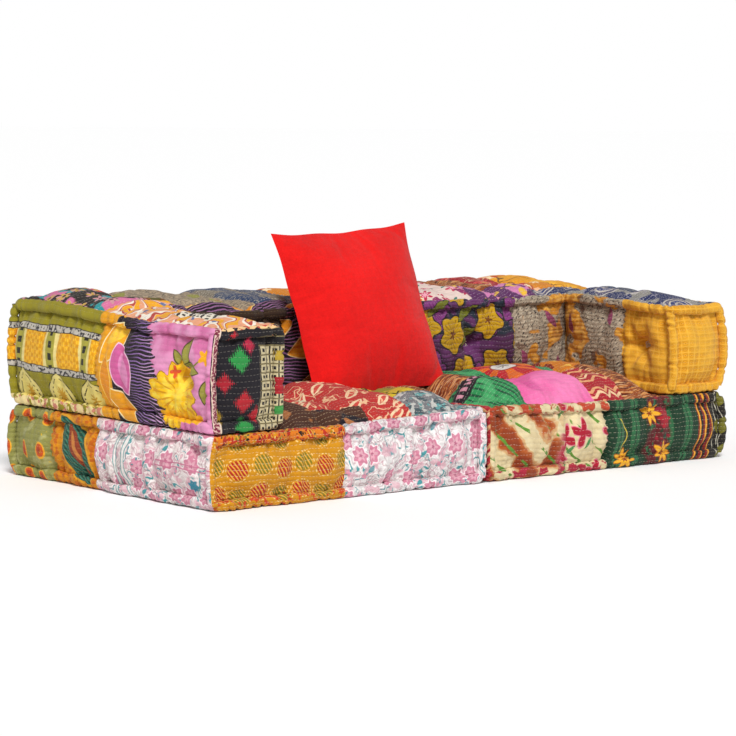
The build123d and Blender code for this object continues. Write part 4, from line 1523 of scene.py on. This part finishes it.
def sew_corner_rolls(block):
    """The stuffed upright seams at the outer corners of a block."""
    low, high = block.base + ROLL_RADIUS, block.base + block.height - ROLL_RADIUS
    rows = round((high - low) / CORNER_ROLL_STEP)
    z = np.linspace(low, high, rows)
    sides = CORNER_ROLL_SIDES
    angles = np.arange(sides) * tau / sides
    a, b = np.meshgrid(np.arange(rows - 1), np.arange(sides), indexing="ij")
    first_half = b < sides // 2
    parts, all_places, found, names = [], [], [], []
    for i, (corner, before, after, convex) in enumerate(block.steps):
        if not convex:
            continue
        inward = left_of(before) + left_of(after)
        pinches = Pinches(high - low, block.seed + 50 + i)
        share, pull = pinches.share((z - low)[:, None] + CORNER_STITCH_SLANT * np.sin(angles))
        radius = bead(CORNER_ROLL_RADIUS, share, pull)
        diagonal = -inward / np.sqrt(2)
        out = diagonal * (radius * np.cos(angles))[..., None]
        xy = corner + inward * CORNER_ROLL_INSET + out
        xy = xy + left_of(diagonal) * (radius * np.sin(angles))[..., None]
        points = np.concatenate([xy, np.broadcast_to(z[:, None, None], (rows, sides, 1))], -1)
        parts.append((points.reshape(-1, 3), tube_faces(rows, sides, closed=False)))
        found.append(np.where(first_half, len(names), len(names) + 1).ravel())
        names += [block.side_patches[i][0][4], block.side_patches[i - 1][-1][4]]
        places = np.empty((rows - 1, sides, 4, 2))
        for c, (da, db) in enumerate(((0, 0), (0, 1), (1, 1), (1, 0))):
            angle = (b + db) * tau / sides
            places[..., c, 0] = np.where(first_half, angle, angle - tau) * CORNER_ROLL_RADIUS
            places[..., c, 0] += np.where(first_half, 0, block.side_length(i - 1))
            places[..., c, 1] = z[a + da] - block.base
        all_places.append(places.reshape(-1, 2))
    points, faces, _ = join(parts)
    obj = new_mesh(f"{block.name}_corner_seams", soften(block, points), faces)
    set_map(obj, np.concatenate(all_places))
    paint(obj, np.concatenate(found), names)
    return obj


def knot_path():
    t = np.linspace(0, tau, 60, endpoint=False)
    radius = KNOT_SIZE * (1.4 + 0.6 * np.cos(3 * t))
    rise = KNOT_SIZE * 0.7 * np.sin(3 * t)
    return np.column_stack([radius * np.cos(2 * t), radius * np.sin(2 * t), rise])


def twine_mesh(path, radius, closed):
    ahead = np.roll(path, -1, 0) - np.roll(path, 1, 0)
    if not closed:
        ahead[0], ahead[-1] = path[1] - path[0], path[-1] - path[-2]
    ahead /= np.linalg.norm(ahead, axis=1)[:, None]
    across = np.cross(ahead, TWINE_REFERENCE)
    across /= np.linalg.norm(across, axis=1)[:, None]
    up = np.cross(ahead, across)
    angles = (np.arange(TWINE_SIDES) * tau / TWINE_SIDES)[None, :, None]
    round_path = across[:, None] * np.cos(angles) + up[:, None] * np.sin(angles)
    points = path[:, None] + radius * round_path
    return points.reshape(-1, 3), tube_faces(len(path), TWINE_SIDES, closed)


def tie_block(block):
    """Twine straight through the block at each tuft, with a knot at both ends."""
    ends = [
        (np.array([x, y, floor + KNOT_RISE]), np.array([x, y, block.base + KNOT_RISE]))
        for x, y, floor in block.tufts
    ]
    for first, second in zip(block.side_tufts[::2], block.side_tufts[1::2]):
        start, stop = np.array([*first, block.middle]), np.array([*second, block.middle])
        way = (stop - start) / np.linalg.norm(stop - start)
        ends.append((start + way * SIDE_KNOT_DEPTH, stop - way * SIDE_KNOT_DEPTH))
    parts = []
    for start, stop in ends:
        way = (stop - start) / np.linalg.norm(stop - start)
        turn = Vector((0, 0, 1)).rotation_difference(Vector(way)).to_matrix()
        for end in (start, stop):
            parts.append(twine_mesh(knot_path() @ np.array(turn).T + end, KNOT_TWINE, True))
        parts.append(twine_mesh(np.linspace(start, stop, 12), TIE_TWINE, False))
    points, faces, _ = join(parts)
    obj = new_mesh(f"{block.name}_ties", soften(block, points), faces)
    set_map(obj, np.zeros((len(obj.data.loops), 2)))
    paint(obj, np.zeros(len(obj.data.polygons)), ["twine"])
    return obj


def dress(obj, body, nodes):
    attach(obj, body)
    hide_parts(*nodes)


for block in blocks:
    name, patchwork = block.name, "patchwork_cloth"
    made = sew_block(block)
    dress(made["top"], name, [f"{name}_top_panel", f"{name}_cotton_filling"])
    dress(made["side"], name, [f"{name}_side_panels"])
    dress(made["bottom"], name, [f"{name}_bottom_panel"])
    dress(sew_edge_roll(block, "top"), name, [f"{name}_top_edge_roll"])
    dress(sew_edge_roll(block, "bottom"), name, [f"{name}_bottom_edge_roll"])
    dress(sew_corner_rolls(block), name, [f"{name}_corner_rolls"])
    dress(tie_block(block), name, [f"{name}_tufting_ties"])


# Scatter cushion: two square sheets held along one drawn-in seam and stuffed
half = CUSHION_SIDE / 2
places = np.linspace(-half, half, CUSHION_CELLS + 1)
flat, faces, edge = grid(places, places)
share = flat / half
drawn = flat * (1 - CUSHION_DRAW_IN * np.abs(share) ** 3 * (1 - share[:, ::-1] ** 2))
drawn = drawn * (1 - 0.008 * np.cos(share[:, ::-1] * 9))
swell = CUSHION_SWELL * (1 - share[:, 0] ** 4) * (1 - share[:, 1] ** 4)
sheets = [
    Sheet("top", 0, flat, faces[:, ::side], np.column_stack([drawn, swell * side]), edge)
    for side in (1, -1)
]
stuffed = stuff("cushion_form", sheets, CUSHION_FULLNESS, CUSHION_FULLNESS)
low, high = (np.array(corner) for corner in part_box("cushion_insert"))
center = (low + high) / 2 + CUSHION_SHIFT
lean = np.array([
    (1, 0, 0),
    (0, sin(CUSHION_LEAN), cos(CUSHION_LEAN)),
    (0, -cos(CUSHION_LEAN), sin(CUSHION_LEAN)),
])
tilt = np.array([
    (cos(CUSHION_TILT), sin(CUSHION_TILT), 0),
    (-sin(CUSHION_TILT), cos(CUSHION_TILT), 0),
    (0, 0, 1),
])
for name, sheet, points, nodes in (
    ("cushion_front", sheets[0], stuffed[0], ["cushion_front_panel", "cushion_insert"]),
    ("cushion_back", sheets[1], stuffed[1], ["cushion_back_panel"]),
):
    obj = new_mesh(name, points @ (tilt @ lean) + center, sheet.faces)
    set_map(obj, flat[sheet.faces.ravel()])
    refine(obj)
    paint(obj, np.zeros(len(obj.data.polygons)), ["red"])
    dress(obj, "scatter_cushion", nodes)


# Stage, lights and camera


def studio():
    edge = FLOOR_REACH
    corners = [(-edge, -edge, 0), (edge, -edge, 0), (edge, edge, 0), (-edge, edge, 0)]
    floor = new_mesh("floor", corners, [(0, 1, 2, 3)])
    material = bpy.data.materials.new("floor")
    material.use_nodes = True
    shader = material.node_tree.nodes["Principled BSDF"]
    shader.inputs["Base Color"].default_value = (0.99, 0.99, 0.99, 1)
    shader.inputs["Roughness"].default_value = 0.9
    floor.data.materials.append(material)
    world = bpy.data.worlds.new("studio")
    world.use_nodes = True
    nodes, links = world.node_tree.nodes, world.node_tree.links
    nodes.clear()
    out, mix = nodes.new("ShaderNodeOutputWorld"), nodes.new("ShaderNodeMixShader")
    path = nodes.new("ShaderNodeLightPath")
    links.new(path.outputs["Is Camera Ray"], mix.inputs[0])
    for place, strength in ((1, SKY_STRENGTH), (2, 1.0)):
        background = nodes.new("ShaderNodeBackground")
        background.inputs["Color"].default_value = (1, 1, 1, 1)
        background.inputs["Strength"].default_value = strength
        links.new(background.outputs[0], mix.inputs[place])
    links.new(mix.outputs[0], out.inputs[0])
    bpy.context.scene.world = world
    key = bpy.data.lights.new("key", "SUN")
    key.energy, key.angle = KEY_ENERGY, KEY_SPREAD
    lamp = bpy.data.objects.new("key", key)
    lamp.rotation_euler = KEY_TURN
    bpy.context.scene.collection.objects.link(lamp)


def aim_camera():
    yaw, pitch, roll = CAMERA_YAW, CAMERA_PITCH, CAMERA_ROLL
    forward = Vector((sin(yaw) * cos(pitch), cos(yaw) * cos(pitch), -sin(pitch)))
    right = Vector((cos(yaw), -sin(yaw), 0))
    up = right.cross(forward)
    right, up = right * cos(roll) + up * sin(roll), up * cos(roll) - right * sin(roll)
    data = bpy.data.cameras.new("camera")
    data.sensor_width = 36
    data.lens = CAMERA_FOCUS_PIXELS / PHOTO_PIXELS * 36
    data.clip_end = 100
    camera = bpy.data.objects.new("camera", data)
    turn = Matrix((right, up, -forward)).transposed().to_4x4()
    camera.matrix_world = Matrix.Translation(CAMERA_PLACE) @ turn
    bpy.context.scene.collection.objects.link(camera)
    bpy.context.scene.camera = camera


studio()
aim_camera()
bpy.context.scene.view_settings.view_transform = "Standard"
